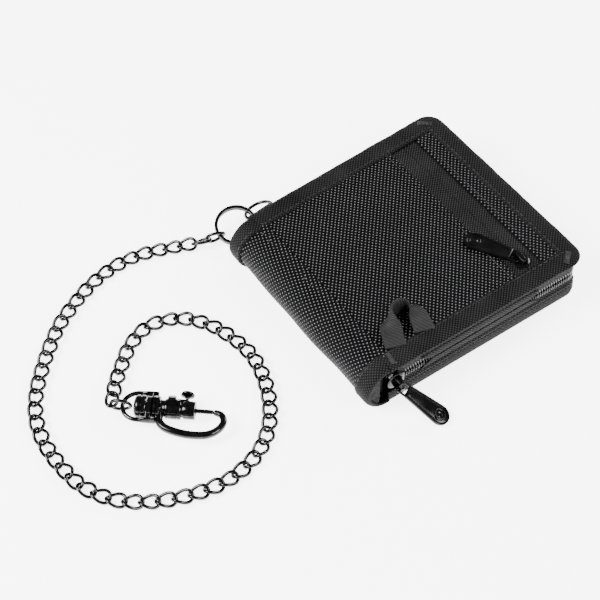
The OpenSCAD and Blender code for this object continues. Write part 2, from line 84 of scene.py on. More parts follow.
def joint_point(name):
    return np.array(JOINTS[name]["pos_m"]) / MM


def joint_axis(name):
    axis = np.array(JOINTS[name]["axis"], float)
    return axis / np.linalg.norm(axis)


# ---------------------------------------------------------------- camera

CAMERA_AT = (-0.3106, -0.3637, 0.5713)
CAMERA_HEADING = (0.57786, 0.81614)
CAMERA_DOWN = math.radians(51.076)


def make_camera():
    data = bpy.data.cameras.new("camera")
    data.lens = 102.0
    data.sensor_width = 36.0
    camera = bpy.data.objects.new("camera", data)
    flat = math.cos(CAMERA_DOWN)
    forward = Vector((CAMERA_HEADING[0] * flat, CAMERA_HEADING[1] * flat, -math.sin(CAMERA_DOWN)))
    camera.location = CAMERA_AT
    camera.rotation_euler = forward.to_track_quat("-Z", "Y").to_euler()
    scene.collection.objects.link(camera)
    scene.camera = camera


make_camera()

# ---------------------------------------------------------------- mesh tools


def mesh_object(name, points, faces, uv=None, sharp=40.0):
    """A smooth-shaded mesh from points in millimetres. uv is one pair a point, also in millimetres."""
    name += "_look" if name in frame["nodes"] else ""
    mesh = bpy.data.meshes.new(name)
    mesh.from_pydata((np.asarray(points, float) * MM).tolist(), [], [list(f) for f in faces])
    if uv is not None:
        index = np.empty(len(mesh.loops), int)
        mesh.loops.foreach_get("vertex_index", index)
        layer = mesh.uv_layers.new(name="UVMap")
        layer.data.foreach_set("uv", np.asarray(uv, np.float32)[index].ravel())
    mesh.polygons.foreach_set("use_smooth", np.ones(len(mesh.polygons), bool))
    mesh.set_sharp_from_angle(angle=math.radians(sharp))
    mesh.update()
    piece = bpy.data.objects.new(name, mesh)
    scene.collection.objects.link(piece)
    return piece


def grid_faces(rows, columns, wrap=False):
    """Quads between neighbouring rows of a grid. wrap joins each row's last point to its first."""
    faces = []
    for i in range(rows - 1):
        for j in range(columns if wrap else columns - 1):
            a = i * columns + j
            b = i * columns + (j + 1) % columns
            faces.append((a, b, b + columns, a + columns))
    return faces


def tube_faces(rows, columns):
    """Faces of a tube of closed rings, capped at both ends."""
    start = tuple(range(columns))
    end = tuple((rows - 1) * columns + j for j in start)
    return grid_faces(rows, columns, True) + [start[::-1], end]


def ring_faces(rows, columns):
    """Faces of a tube of closed rings whose last ring joins its first."""
    last = (rows - 1) * columns
    joint = [(last + j, last + (j + 1) % columns, (j + 1) % columns, j) for j in range(columns)]
    return grid_faces(rows, columns, True) + joint


def sheet_faces(rows, columns, upright):
    """Faces of a sheet with two sides and a rim, from an upper grid of points and a lower one after it.

    upright is False where the grid's rows and columns run the other way round.
    """
    faces = [f if upright else f[::-1] for f in grid_faces(rows, columns)]
    count = rows * columns
    under = [tuple(count + k for k in f[::-1]) for f in faces]
    rim = ([(i, 0) for i in range(rows)] + [(rows - 1, j) for j in range(1, columns)]
           + [(i, columns - 1) for i in range(rows - 2, -1, -1)] + [(0, j) for j in range(columns - 2, 0, -1)])
    rim = [i * columns + j for i, j in rim]
    wall = [(b, a, count + a, count + b) if upright else (a, b, count + b, count + a)
            for a, b in zip(rim, rim[1:] + rim[:1])]
    return faces + under + wall


class Parts:
    """Gathers several closed shapes into one mesh."""

    def __init__(self):
        self.points, self.faces, self.uv = [], [], []
        self.count = 0

    def add(self, points, faces, uv=None):
        points = np.asarray(points, float).reshape(-1, 3)
        self.points.append(points)
        self.faces += [tuple(self.count + k for k in f) for f in faces]
        self.uv.append(points[:, :2] if uv is None else np.asarray(uv, float).reshape(-1, 2))
        self.count += len(points)

    def tube(self, rings, at=None, uv=None):
        """A capped tube. rings is rows x columns x 3, and at is the matrix that puts it in place."""
        rings = np.asarray(rings, float)
        self.add(rings if at is None else placed(rings, at), tube_faces(*rings.shape[:2]), uv)

    def loop(self, rings, at):
        """A tube whose last ring joins its first."""
        rings = placed(rings, at)
        self.add(rings, ring_faces(*rings.shape[:2]))

    def object(self, name, sharp=40.0):
        return mesh_object(name, np.concatenate(self.points), self.faces, np.concatenate(self.uv), sharp)


def unit(v):
    v = np.asarray(v, float)
    return v / np.maximum(np.linalg.norm(v, axis=-1, keepdims=True), 1e-9)


def spline(a, b, c, d, steps):
    """Points from b towards c on a Catmull-Rom curve through four points."""
    return [0.5 * (2 * b + (c - a) * u + (2 * a - 5 * b + 4 * c - d) * u**2 + (3 * b - a - 3 * c + d) * u**3)
            for u in np.arange(steps) / steps]


def smooth_path(points, per_span):
    """Points on an open spline through the given ones."""
    p = np.asarray(points, float)
    p = np.concatenate([p[:1], p, p[-1:]])
    out = []
    for i in range(len(p) - 3):
        out += spline(*p[i:i + 4], per_span)
    return np.array(out + [p[-1]])


def smooth_profile(points, per_span=3):
    """Points on a closed spline through the given ones."""
    p = np.asarray(points, float)
    out = []
    for i in range(len(p)):
        out += spline(*(p[(i + k) % len(p)] for k in (-1, 0, 1, 2)), per_span)
    return np.array(out)


def run_length(path):
    """Distance along a polyline to each of its points."""
    return np.concatenate([[0], np.cumsum(np.linalg.norm(np.diff(path, axis=0), axis=1))])


def at_length(path, s):
    """Points at the given distances along a polyline."""
    along = run_length(path)
    return np.stack([np.interp(s, along, path[:, k]) for k in range(path.shape[1])], axis=-1)


def circle_section(r, count):
    a = np.arange(count) / count * TAU
    return np.stack([r * np.cos(a), r * np.sin(a)], axis=1)


def carried(line, section, across, up):
    """Rings of a flat section whose own axes lie along across and up at each point of a line."""
    return line[:, None, :] + section[None, :, :1] * across[:, None, :] + section[None, :, 1:] * up[:, None, :]


def layers(levels):
    """Rings from (outline, height) levels."""
    return np.array([np.column_stack([ring, np.full(len(ring), z)]) for ring, z in levels])


def round_rect(width, height, r, steps=4):
    """Closed outline of a rectangle with round corners, anticlockwise."""
    r = min(r, width / 2 - 1e-3, height / 2 - 1e-3)
    points = []
    for k, (sx, sy) in enumerate([(1, 1), (-1, 1), (-1, -1), (1, -1)]):
        for a in (k + np.arange(steps + 1) / steps) * TAU / 4:
            points.append([sx * (width / 2 - r) + r * math.cos(a), sy * (height / 2 - r) + r * math.sin(a)])
    return np.array(points)


def sweep(path, section, up=(0, 0, 1)):
    """Rings of a flat section carried along a path. The section's second axis stays near up."""
    path = np.asarray(path, float)
    ahead = unit(np.gradient(path, axis=0))
    side = unit(np.cross(np.broadcast_to(np.asarray(up, float), path.shape), ahead))
    return carried(path, section, side, np.cross(ahead, side))


def turned(profile, sides=56):
    """Rings of a lathe shape along +X. profile is a list of (x, radius)."""
    ring = circle_section(1.0, sides)
    return np.array([[[x, r * c[0], r * c[1]] for c in ring] for x, r in profile])


def placed(points, matrix):
    points = np.asarray(points, float)
    flat = points.reshape(-1, 3) @ matrix[:3, :3].T + matrix[:3, 3]
    return flat.reshape(points.shape)


def frame_matrix(origin, x, z):
    """4x4 that puts local +X along x and local +Z as near z as it can, at origin."""
    x = unit(x)
    y = unit(np.cross(z, x))
    m = np.eye(4)
    m[:3, 0], m[:3, 1], m[:3, 2], m[:3, 3] = x, y, np.cross(x, y), origin
    return m


def ripple(s, size, wave):
    """A small steady unevenness, as sewn fabric has."""
    s = np.asarray(s, float)
    return size * (np.sin(s * TAU / wave) + 0.6 * np.sin(s * TAU / (wave * 0.37) + 1.3)
                   + 0.4 * np.sin(s * TAU / (wave * 1.9) + 4.1)) / 2


# ---------------------------------------------------------------- materials


class Value:
    """A shader socket on which ordinary arithmetic makes Math nodes."""

    def __init__(self, tree, socket):
        self.tree, self.socket = tree, socket

    def math(self, operation, *others):
        node = self.tree.nodes.new("ShaderNodeMath")
        node.operation = operation
        for k, item in enumerate((self,) + others):
            if isinstance(item, Value):
                self.tree.links.new(item.socket, node.inputs[k])
            else:
                node.inputs[k].default_value = item
        return Value(self.tree, node.outputs[0])

    def __add__(self, other):
        return self.math("ADD", other)

    def __sub__(self, other):
        return self.math("SUBTRACT", other)

    def __mul__(self, other):
        return self.math("MULTIPLY", other)

    def __truediv__(self, other):
        return self.math("DIVIDE", other)

    def floor(self):
        return self.math("FLOOR")

    def bulge(self):
        """Half a cosine from 0 to 1 and back over each whole step."""
        return ((self.math("FRACT") - 0.5) * math.pi).math("COSINE").math("MAXIMUM", 0.0)

    def wave(self, length):
        """A cosine from 0 to 1 with that wavelength."""
        return ((self / length) * TAU).math("COSINE") * 0.5 + 0.5


class Material:
    """A node material with a Principled shader, and short ways to feed it."""

    def __init__(self, name, color, roughness, **settings):
        self.material = bpy.data.materials.new(name)
        self.material.use_nodes = True
        self.tree = self.material.node_tree
        self.shader = self.tree.nodes["Principled BSDF"]
        self.shader.inputs["Base Color"].default_value = (*color, 1)
        self.shader.inputs["Roughness"].default_value = roughness
        self.material.diffuse_color = (*color, 1)
        for key, value in settings.items():
            self.shader.inputs[key.replace("_", " ")].default_value = value

    def uv(self):
        """The mesh's own U and V, which are in millimetres."""
        texture = self.tree.nodes.new("ShaderNodeTexCoord")
        split = self.tree.nodes.new("ShaderNodeSeparateXYZ")
        self.tree.links.new(texture.outputs["UV"], split.inputs[0])
        return [Value(self.tree, split.outputs[k]) for k in (0, 1)]

    def noise(self, scale, detail, stretch=(1, 1, 1)):
        """Noise from 0 to 1. scale is in features per metre of object coordinates."""
        texture = self.tree.nodes.new("ShaderNodeTexCoord")
        mapping = self.tree.nodes.new("ShaderNodeMapping")
        mapping.inputs["Scale"].default_value = stretch
        node = self.tree.nodes.new("ShaderNodeTexNoise")
        node.inputs["Scale"].default_value = scale
        node.inputs["Detail"].default_value = detail
        self.tree.links.new(texture.outputs["Object"], mapping.inputs["Vector"])
        self.tree.links.new(mapping.outputs[0], node.inputs["Vector"])
        return Value(self.tree, node.outputs["Fac"])

    def color(self, factor, *stops):
        """Base colour from a ramp of (position, grey level) stops."""
        ramp = self.tree.nodes.new("ShaderNodeValToRGB")
        while len(ramp.color_ramp.elements) < len(stops):
            ramp.color_ramp.elements.new(0.5)
        for element, (position, level) in zip(ramp.color_ramp.elements, stops):
            element.position = position
            element.color = (*grey(level), 1)
        self.tree.links.new(factor.socket, ramp.inputs[0])
        self.tree.links.new(ramp.outputs[0], self.shader.inputs["Base Color"])

    def rough(self, value):
        self.tree.links.new(value.socket, self.shader.inputs["Roughness"])

    def bump(self, height, depth):
        """Bump of that many millimetres from a height of 0 to 1."""
        node = self.tree.nodes.new("ShaderNodeBump")
        node.inputs["Strength"].default_value = 1.0
        node.inputs["Distance"].default_value = depth * MM
        self.tree.links.new(height.socket, node.inputs["Height"])
        self.tree.links.new(node.outputs[0], self.shader.inputs["Normal"])


def grey(value):
    return (value, value, value * 1.04)


WEAVE_X, WEAVE_Y = 1.0, 1.17     # spacing of the threads both ways
WEFT_DEPTH_AND_SHADE = 0.3                 # the crossing threads lie lower, and in the shaders their colour is painted darker as shade


def weave_value(u, v, cell_u, cell_v):
    """Height of a plain weave from 0 in the gaps to 1 on the crowns, as shader math."""
    a, b = u / cell_u, v / cell_v
    odd = ((a.floor() + b.floor()) * 0.5).math("FRACT") * 2.0
    across, along = a.bulge(), b.bulge()
    warp = across.math("POWER", 0.5) * (along * 0.7 + 0.3)
    weft = along.math("POWER", 0.5) * (across * 0.7 + 0.3)
    return warp * (odd * -1.0 + 1.0) + weft * odd * WEFT_DEPTH_AND_SHADE


def weave_height(u, v):
    """The nylon's weave for mesh points."""
    a, b = u / WEAVE_X, v / WEAVE_Y
    odd = (np.floor(a) + np.floor(b)) % 2
    across = np.clip(np.cos((a - np.floor(a) - 0.5) * math.pi), 0, 1)
    along = np.clip(np.cos((b - np.floor(b) - 0.5) * math.pi), 0, 1)
    warp = across**0.5 * (along * 0.7 + 0.3)
    weft = along**0.5 * (across * 0.7 + 0.3)
    return warp * (1 - odd) + weft * odd * WEFT_DEPTH_AND_SHADE


def woven_nylon():
    m = Material("woven_nylon", grey(0.02), 0.5, Specular_IOR_Level=0.05)
    u, v = m.uv()
    height = weave_value(u, v, WEAVE_X, WEAVE_Y)
    strands = v.wave(0.2)
    patches = m.noise(55, 3)
    # Painted light: the colour follows the weave's height, so the crowns are painted light as highlight and the gaps
    # dark as shade. The strand lines brighten the crowns further as painted highlight, and the patches are random
    # tone.
    m.color(height * 0.85 + strands * height * 0.1 + patches * 0.08,
            (0.42, 0.0003), (0.68, 0.006), (0.94, 0.15))
    m.rough(patches * 0.2 + 0.42)
    m.bump(height + strands * 0.1, 0.3)
    return m.material


def woven_tape(name, cell, dark, light, roughness):
    m = Material(name, grey(light), roughness, Specular_IOR_Level=0.05)
    height = weave_value(*m.uv(), cell, cell)
    patches = m.noise(70, 4)
    # Painted light: the colour follows the weave's height, with crowns painted lighter as highlight and gaps darker
    # as shade, mixed with random patches of tone.
    m.color(height * 0.65 + patches * 0.35, (0.28, dark), (0.8, light))
    m.rough(patches * 0.2 + (roughness - 0.1))
    m.bump(height + patches * 0.6, 0.1)
    return m.material


RIB = 0.62           # spacing of a ribbon's ribs
RIBBON_WIDTH = 9.0


def ribbed_ribbon():
    m = Material("grosgrain", grey(0.02), 0.6, Specular_IOR_Level=0.12)
    u, v = m.uv()
    ribs = u.wave(RIB)
    edge = ((v / RIBBON_WIDTH).math("FRACT") * TAU).math("COSINE") * 0.5 + 0.5
    # Painted light: the rib crests are painted lighter as highlight and the troughs darker as shade, mixed with
    # random tone from the noise.
    m.color(ribs * 0.7 + m.noise(80, 3) * 0.3, (0.3, 0.0005), (0.8, 0.034))
    m.bump(ribs + edge * 0.2, 0.2)
    return m.material


def black_nickel():
    m = Material("black_nickel", grey(0.045), 0.2, Metallic=1.0)
    wear = m.noise(420, 6)
    streaks = m.noise(900, 2, stretch=(1, 0.15, 1))
    m.color(wear * 0.7 + streaks * 0.3, (0.3, 0.012), (0.75, 0.05))
    m.rough(wear * 0.16 + 0.04)
    m.bump(streaks, 0.006)
    return m.material


def speckled(name, color, roughness, scale, detail, stops=(), rough=None, bump=0, **settings):
    """A material that follows one fine noise. rough is (change, least) of its roughness."""
    m = Material(name, color, roughness, **settings)
    speckle = m.noise(scale, detail)
    if stops:
        m.color(speckle, *stops)
    if rough:
        m.rough(speckle * rough[0] + rough[1])
    if bump:
        m.bump(speckle, bump)
    return m.material


NYLON = woven_nylon()
BINDING = woven_tape("binding_tape", 0.8, 0.0005, 0.026, 0.66)
ZIP_TAPE = woven_tape("zip_tape", 0.75, 0.0005, 0.036, 0.68)
LINING = woven_tape("lining_weave", 0.6, 0.006, 0.03, 0.6)
RIBBON = ribbed_ribbon()
COIL = speckled("coil_nylon", grey(0.03), 0.3, 200, 2, ((0.3, 0.012), (0.8, 0.035)), (0.2, 0.2),
                Specular_IOR_Level=0.5)
ENAMEL = speckled("black_enamel", grey(0.002), 0.2, 260, 5, ((0.35, 0.001), (0.8, 0.004)), (0.16, 0.08), 0.012,
                  Specular_IOR_Level=0.14, Coat_Weight=0.05, Coat_Roughness=0.08)
NICKEL = black_nickel()
SPRING = speckled("spring_wire", grey(0.4), 0.3, 500, 3, rough=(0.2, 0.2), Metallic=1.0)
BOARD = speckled("board", grey(0.06), 0.8, 300, 5, ((0.3, 0.05), (0.8, 0.11)))
FILM = speckled("clear_film", (0.6, 0.62, 0.65), 0.08, 90, 3, rough=(0.12, 0.03), Alpha=0.18)
THREAD = speckled("thread", grey(0.02), 0.5, 600, 2, ((0.3, 0.006), (0.8, 0.03)), Specular_IOR_Level=0.25)
THREAD_LIGHT = speckled("thread_light", grey(0.05), 0.5, 600, 2, ((0.3, 0.006), (0.8, 0.04)),
                        Specular_IOR_Level=0.3)


def finish_piece(piece, body, material, slot, *nodes):
    """Gives a piece its material and, unless body is None, a body, and hides the CAD nodes it stands for. slot is not
    used.
    """
    piece.data.materials.append(material)
    if body is not None:
        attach(piece, body)
    if nodes:
        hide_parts(*nodes)
    return piece


def metal(parts, name, body, node, sharp=40):
    return finish_piece(parts.object(name, sharp), body, NICKEL, "gunmetal", node)


def enamelled(parts, name, body, node, sharp=40):
    return finish_piece(parts.object(name, sharp), body, ENAMEL, "black_metal", node)


def paint(material, *nodes):
    """A better material for CAD nodes that stay."""
    for name in nodes:
        node = frame["nodes"][name]
        node.data.materials.clear()
        node.data.materials.append(material)
        for polygon in node.data.polygons:
            polygon.use_smooth = True
        node.data.set_sharp_from_angle(angle=math.radians(35))


# ---------------------------------------------------------------- chain

# The route of the chain's middle line, as in the CAD source, in metres
ROUTE = [
    (-0.0559, 0.0607, 0.0047), (-0.0622, 0.0632, 0.0031), (-0.0728, 0.0679, 0.0028),
    (-0.0848, 0.0723, 0.0028), (-0.098, 0.0738, 0.0028), (-0.1115, 0.0715, 0.0028),
    (-0.1237, 0.0665, 0.0028), (-0.1354, 0.06, 0.0028), (-0.1451, 0.052, 0.0028),
    (-0.1545, 0.0428, 0.0028), (-0.1628, 0.033, 0.0028), (-0.1689, 0.022, 0.0028),
    (-0.1718, 0.01, 0.0028), (-0.172, -0.0027, 0.0028), (-0.17, -0.0156, 0.0028),
    (-0.164, -0.027, 0.0028), (-0.1552, -0.0353, 0.0028), (-0.1439, -0.0416, 0.0028),
    (-0.1315, -0.0456, 0.0028), (-0.1184, -0.0468, 0.0028), (-0.1054, -0.0436, 0.0028),
    (-0.0948, -0.0366, 0.0028), (-0.087, -0.0266, 0.0028), (-0.0814, -0.0146, 0.0028),
    (-0.0786, -0.0016, 0.0028), (-0.08, 0.011, 0.0028), (-0.0844, 0.0232, 0.0028),
    (-0.0926, 0.0328, 0.0028), (-0.105, 0.037, 0.0028), (-0.117, 0.033, 0.0028),
    (-0.127, 0.0248, 0.0028), (-0.1336, 0.0182, 0.0032), (-0.1392, 0.0114, 0.0049),
    (-0.1412, 0.009, 0.0052),
]
LINK_PITCH = 6.56
LINK_COUNT = 62
LINK_WIRE = 0.76     # half the wire's thickness
LINK_HALF = 4.1
LINK_SIDE = 2.85
LIE_DOWN = 0.82      # twisted links lie lower than the plain ones of the CAD model
# The end links turn, in degrees, to pass through the split ring and the last link
END_ROLL = {0: 78, 1: 38, LINK_COUNT - 2: -28, LINK_COUNT - 1: -8}


def curb_link(twist=40, side=LINK_SIDE):
    """Rings of one twisted oval link, long along X. Its faces are ground a little flat."""
    around, steps = 10, 36
    t = np.arange(steps) / steps * TAU
    x = LINK_HALF * np.sign(np.cos(t)) * np.abs(np.cos(t)) ** 0.9
    flat = side * np.sign(np.sin(t)) * np.abs(np.sin(t)) ** 0.9
    turn = math.radians(twist) * x / LINK_HALF
    path = np.stack([x, flat * np.cos(turn), flat * np.sin(turn)], axis=1)
    ahead = unit(np.roll(path, -1, axis=0) - np.roll(path, 1, axis=0))
    out = unit(np.stack([np.cos(t) * 0.6, np.sin(t) * np.cos(turn), np.sin(t) * np.sin(turn)], axis=1))
    out = unit(out - ahead * np.sum(out * ahead, axis=1, keepdims=True))
    rings = carried(path, circle_section(LINK_WIRE, around), out, np.cross(ahead, out))
    ground = LINK_WIRE * 0.94
    rings[:, :, 2] = path[:, None, 2] + np.clip(rings[:, :, 2] - path[:, None, 2], -ground, ground)
    return rings


def roll_matrix(angle):
    c, s = math.cos(angle), math.sin(angle)
    m = np.eye(4)
    m[1:3, 1:3] = [[c, -s], [s, c]]
    return m


def chain():
    path = smooth_path(np.array(ROUTE) / MM, 6)
    along = run_length(path)
    ends = np.minimum(along, along[-1] - along) / 16
    path[:, 2] -= LIE_DOWN * np.clip(ends - 0.35, 0, 1)
    s = np.arange(LINK_COUNT) * LINK_PITCH
    centres = at_length(path, s)
    ahead = at_length(path, s + 1) - at_length(path, np.maximum(s - 1, 0))
    plain = curb_link()
    special = dict.fromkeys(END_ROLL, curb_link(twist=12))
    special[LINK_COUNT - 1] = curb_link(twist=6, side=2.35)     # clear of the bail as it swings
    parts = Parts()
    for i in range(LINK_COUNT):
        roll = math.radians(END_ROLL.get(i, 4 * math.sin(i * 2.4)))
        parts.loop(special.get(i, plain), frame_matrix(centres[i], ahead[i], (0, 0, 1)) @ roll_matrix(roll))
    reach = path[run_length(path) <= (LINK_COUNT - 1) * LINK_PITCH + LINK_HALF]
    return metal(parts, "chain", "rear_half", "chain_links", 60), reach


chain_piece, chain_path = chain()
# Frame of the snap: X along its axis from the bail to the hook, Z up
SNAP = frame_matrix(joint_point("snap_swivel"), joint_axis("snap_swivel"), (0, 0, 1))
END_LINK_AT = 0.2


def end_link():
    parts = Parts()
    move = np.eye(4)
    move[0, 3] = END_LINK_AT
    parts.loop(curb_link(twist=8), SNAP @ move @ roll_matrix(TAU / 4))
    return metal(parts, "last_link", "rear_half", "end_link", 60)


last_link = end_link()


# ---------------------------------------------------------------- the snap


def bail():
    """Bent wire with flattened, cut-off arms that grip the bar."""
    r, wire, arm_end, bar_x = 6.6, 0.98, 15.2, 12.3
    a = np.linspace(TAU / 4, 3 * TAU / 4, 33)
    bow = np.stack([r + 0.95 + r * np.cos(a), r * np.sin(a), 0 * a], axis=1)
    arm_x = np.linspace(arm_end, r + 1.6, 14)
    arm = np.stack([arm_x, np.full(14, r), 0 * arm_x], axis=1)
    line = np.concatenate([arm, bow, arm[::-1] * (1, -1, 1)])
    flat = np.clip((line[:, 0] - 8.5) / 2.2, 0, 1)
    offset = sweep(line, circle_section(wire, 16)) - line[:, None, :]
    offset[:, :, 1] *= (1 - 0.22 * flat)[:, None]
    offset[:, :, 2] *= (1 + 0.85 * flat)[:, None]
    rings = line[:, None, :] + offset
    rings[:, :, 2] = np.clip(rings[:, :, 2], -1.75, 1.75)
    parts = Parts()
    parts.tube(rings, SNAP)
    bar = round_rect(2.1, 3.5, 0.7, 3) + (bar_x, 0)
    for side in (-1, 1):
        parts.tube([[[x, y * side, z * (1 + 0.12 * math.cos(y / 6.2 * TAU / 4))] for x, z in bar]
                    for y in np.linspace(2.2, 6.2, 6)], SNAP)
    disc = [(11.2, 1.85), (11.2, 4.2), (11.45, 4.6), (13.15, 4.6), (13.4, 4.2), (13.4, 1.85)]
    parts.loop([[[x, r * math.cos(t), r * math.sin(t)] for x, r in disc]
                for t in np.linspace(0, TAU, 57)[:-1]], SNAP)
    return metal(parts, "bail", "snap_bail", "snap_bail")


def rivet():
    parts = Parts()
    parts.tube(turned([(5.7, 0.4), (5.75, 2.4), (6.0, 3.5), (6.4, 4.2), (6.9, 4.65), (7.4, 4.8), (8.3, 4.8),
                       (8.5, 4.45), (8.8, 4.45), (9.0, 4.8), (10.5, 4.8), (10.85, 4.55), (10.9, 1.7),
                       (15.9, 1.7)]), SNAP)
    return metal(parts, "rivet", "snap_body", "swivel_rivet")


KNOB_ANGLE = math.radians(5)
THUMB_ANGLE = math.radians(50)


def radial_matrix(x, angle):
    """Local Z away from the snap's axis at an angle above the hook's plane, local X along the axis."""
    return SNAP @ frame_matrix((x, 0, 0), (1, 0, 0), (0, math.cos(angle), math.sin(angle)))


def snap_body():
    parts = Parts()
    parts.tube(turned([(13.6, 2.0), (13.65, 4.4), (13.9, 4.85), (14.8, 4.9), (15.0, 4.6), (15.2, 4.6),
                       (15.4, 4.9), (16.3, 4.9), (16.6, 4.6), (16.75, 3.7), (17.3, 3.45), (18.2, 3.6),
                       (18.55, 3.8), (18.7, 4.0), (19.0, 4.2), (19.6, 4.2), (19.75, 3.98), (19.95, 3.98), (20.1, 4.2),
                       (23.4, 4.2), (23.55, 3.98), (23.75, 3.98), (23.9, 4.2), (24.8, 4.2), (25.15, 4.0),
                       (25.35, 3.4), (25.7, 3.25), (26.05, 3.35), (26.2, 3.7), (26.5, 3.82), (30.5, 3.82),
                       (30.85, 3.7), (31.0, 3.4), (31.02, 2.2), (30.7, 1.9), (30.7, 0.9)]), SNAP)
    # The slot in which the knob's stem slides: a raised rim with a dark floor
    outer = round_rect(8.4, 2.5, 1.2, 5)
    inner = round_rect(7.6, 1.7, 0.84, 5)
    parts.tube(layers([(outer, 3.3), (outer, 4.2), (outer * 0.99, 4.3), (inner, 4.3), (inner * 0.98, 4.15),
                       (inner, 3.7)]), radial_matrix(24.0, KNOB_ANGLE))
    # Thumb rest: a square pad with a knurled top
    rest = radial_matrix(21.25, THUMB_ANGLE)
    pad = round_rect(3.3, 3.2, 0.35, 2)
    parts.tube(layers([(pad, 3.7), (pad, 5.0), (pad * 0.96, 5.25)]), rest)
    ridge = ((-0.22, 5.2), (-0.1, 5.5), (0.1, 5.5), (0.22, 5.2))
    for x in np.linspace(-1.25, 1.25, 6):
        parts.tube([[[x + w, y, z] for w, z in ridge] for y in np.linspace(-1.45, 1.45, 5)], rest)
    return metal(parts, "barrel", "snap_body", "snap_body")


HOOK_PATH = [(16.4, -4.3), (17.2, -7.2), (20, -9.6), (25, -11.2), (30.7, -11.9), (36.8, -11.3), (41, -8.7),
             (43, -4.8), (41.9, -1.3), (38.9, 0)]


def hook():
    """Cast hook: a bevelled bar with ridged edges that narrows to a round tip."""
    line = smooth_path(HOOK_PATH, 9)
    line = np.column_stack([line, np.zeros(len(line))])
    # Half the bar's width and height, from root to tip
    share = np.linspace(0, 1, len(line))
    marks = [0, 0.12, 0.5, 0.85, 1]
    width = np.interp(share, marks, [1.9, 1.62, 1.5, 1.42, 1.15])
    height = np.interp(share, marks, [1.75, 1.6, 1.5, 1.45, 1.15])
    section = np.array([(1, 0.25), (0.92, 0.62), (0.62, 0.9), (0.52, 0.97), (0.2, 1), (-0.2, 1), (-0.52, 0.97),
                        (-0.62, 0.9), (-0.92, 0.62), (-1, 0.25), (-1, -0.25), (-0.92, -0.62), (-0.62, -0.92),
                        (-0.2, -1), (0.2, -1), (0.62, -0.92), (0.92, -0.62), (1, -0.25)])
    offset = sweep(line, section) - line[:, None]
    rings = line[:, None] + offset * np.stack([width, width, height], axis=1)[:, None]
    tip = rings[-1]
    middle = tip.mean(axis=0)
    ahead = unit(line[-1] - line[-2])
    caps = ((0.8, 0.25), (0.62, 0.25), (0.5, -0.5))
    rings = [*rings, *(middle + (tip - middle) * k + ahead * out for k, out in caps)]
    parts = Parts()
    parts.tube(rings, SNAP)
    # Clamp where the hook grips the collar
    clamp = round_rect(3.0, 3.6, 0.9, 3)
    root = np.array([[[x, -4.25 + y, z] for x, z in clamp] for y in (-1.6, -0.9, 0.5, 1.2)])
    root[0] = root[0].mean(axis=0) + (root[0] - root[0].mean(axis=0)) * 0.8
    parts.tube(root + (16.3, 0, 0), SNAP)
    return metal(parts, "hook", "snap_body", "snap_hook")


def bolt():
    parts = Parts()
    parts.tube(turned([(25.6, 1.6), (25.65, 2.1), (25.9, 2.2), (27.9, 2.2), (28.15, 2.1), (28.2, 0.98),
                       (37.7, 0.95), (38.2, 0.85), (38.5, 0.5)], 32), SNAP)
    return metal(parts, "bolt", "snap_bolt", "snap_bolt")


def knob():
    parts = Parts()
    profile = [(0.6, 0.8), (0.6, 4.6), (0.75, 5.2), (1.3, 5.9), (2.1, 6.4), (2.7, 6.6), (2.86, 6.8),
               (2.86, 7.35), (2.7, 7.6), (2.35, 7.7), (1.9, 7.66), (1.75, 7.45), (0.9, 7.4),
               (0.5, 7.55), (0.1, 7.58)]
    ring = circle_section(1.0, 40)
    parts.tube(layers([(ring * r, z) for r, z in profile]), radial_matrix(26.9, KNOB_ANGLE))
    return metal(parts, "knob", "snap_bolt", "bolt_knob")


def spring():
    """A real helix in place of the stack of rings."""
    turns, seat_x = 6, 17.4
    t = np.linspace(0, turns * TAU, turns * 20 + 1)
    line = np.stack([seat_x + 0.4 + 7.5 * t / t[-1], 1.8 * np.cos(t), 1.8 * np.sin(t)], axis=1)
    parts = Parts()
    parts.tube(sweep(line, circle_section(0.2, 8), up=(1, 0, 0)), SNAP)
    piece = finish_piece(parts.object("spring"), "snap_body", SPRING, "spring_steel", "bolt_spring")
    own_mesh(piece)
    return piece


# ---------------------------------------------------------------- rings


def split_ring():
    """Two turns of flat wire that lie on each other, with cut ends."""
    axis = joint_axis("split_ring_turn")
    r, step = 8.8, 1.4
    t = np.linspace(0, 2 * TAU - 0.12, 150)
    # Each turn keeps its level and crosses over to the other just before its end
    cross_over = 0.16
    level = np.clip((t - TAU * (1 - cross_over)) / (TAU * cross_over), 0, 1)
    level = level * level * (3 - 2 * level)
    r = r + 0.04 * np.sin(t * 2)
    line = np.stack([r * np.cos(t), r * np.sin(t), (level - 0.5) * step], axis=1)
    up = np.broadcast_to((0.0, 0.0, 1.0), line.shape)
    parts = Parts()
    parts.tube(carried(line, round_rect(1.55, 1.32, 0.42, 4), unit(line * (1, 1, 0)), up),
               frame_matrix(joint_point("split_ring_turn"), np.cross(axis, (0, 0, 1)), axis))
    return metal(parts, "split_ring", "split_ring", "split_ring")


TAB_RING_AT = (-33.2, 59.7, 8.4)
TAB_RING_TILT, TAB_RING_TURN = 27.5, 109       # where the small ring's axis points, in degrees


def tab_ring():
    """A plain ring of round wire with a butt joint."""
    tilt, turn = math.radians(TAB_RING_TILT), math.radians(TAB_RING_TURN)
    axis = np.array([math.sin(tilt) * math.cos(turn), math.sin(tilt) * math.sin(turn), math.cos(tilt)])
    t = np.linspace(0.05, TAU - 0.05, 90)
    line = np.stack([6.4 * np.cos(t), 6.4 * np.sin(t), 0 * t], axis=1)
    end = np.clip(np.minimum(t - t[0], t[-1] - t) / 0.03, 0, 1)[:, None] * 0.12 + 0.88
    parts = Parts()
    parts.tube(carried(line, circle_section(0.8, 16), unit(line) * end, end * (0.0, 0.0, 1.0)),
               frame_matrix(TAB_RING_AT, np.cross(axis, (0, 0, 1)), axis))
    return metal(parts, "tab_ring", "tab_ring", "tab_ring")


snap_pieces = [bail(), rivet(), snap_body(), hook(), bolt(), knob(), spring()]
ring_piece = split_ring()
tab_ring()

[tuple(p * MM) for p in chain_path[::3]]


# ---------------------------------------------------------------- outline of the wallet

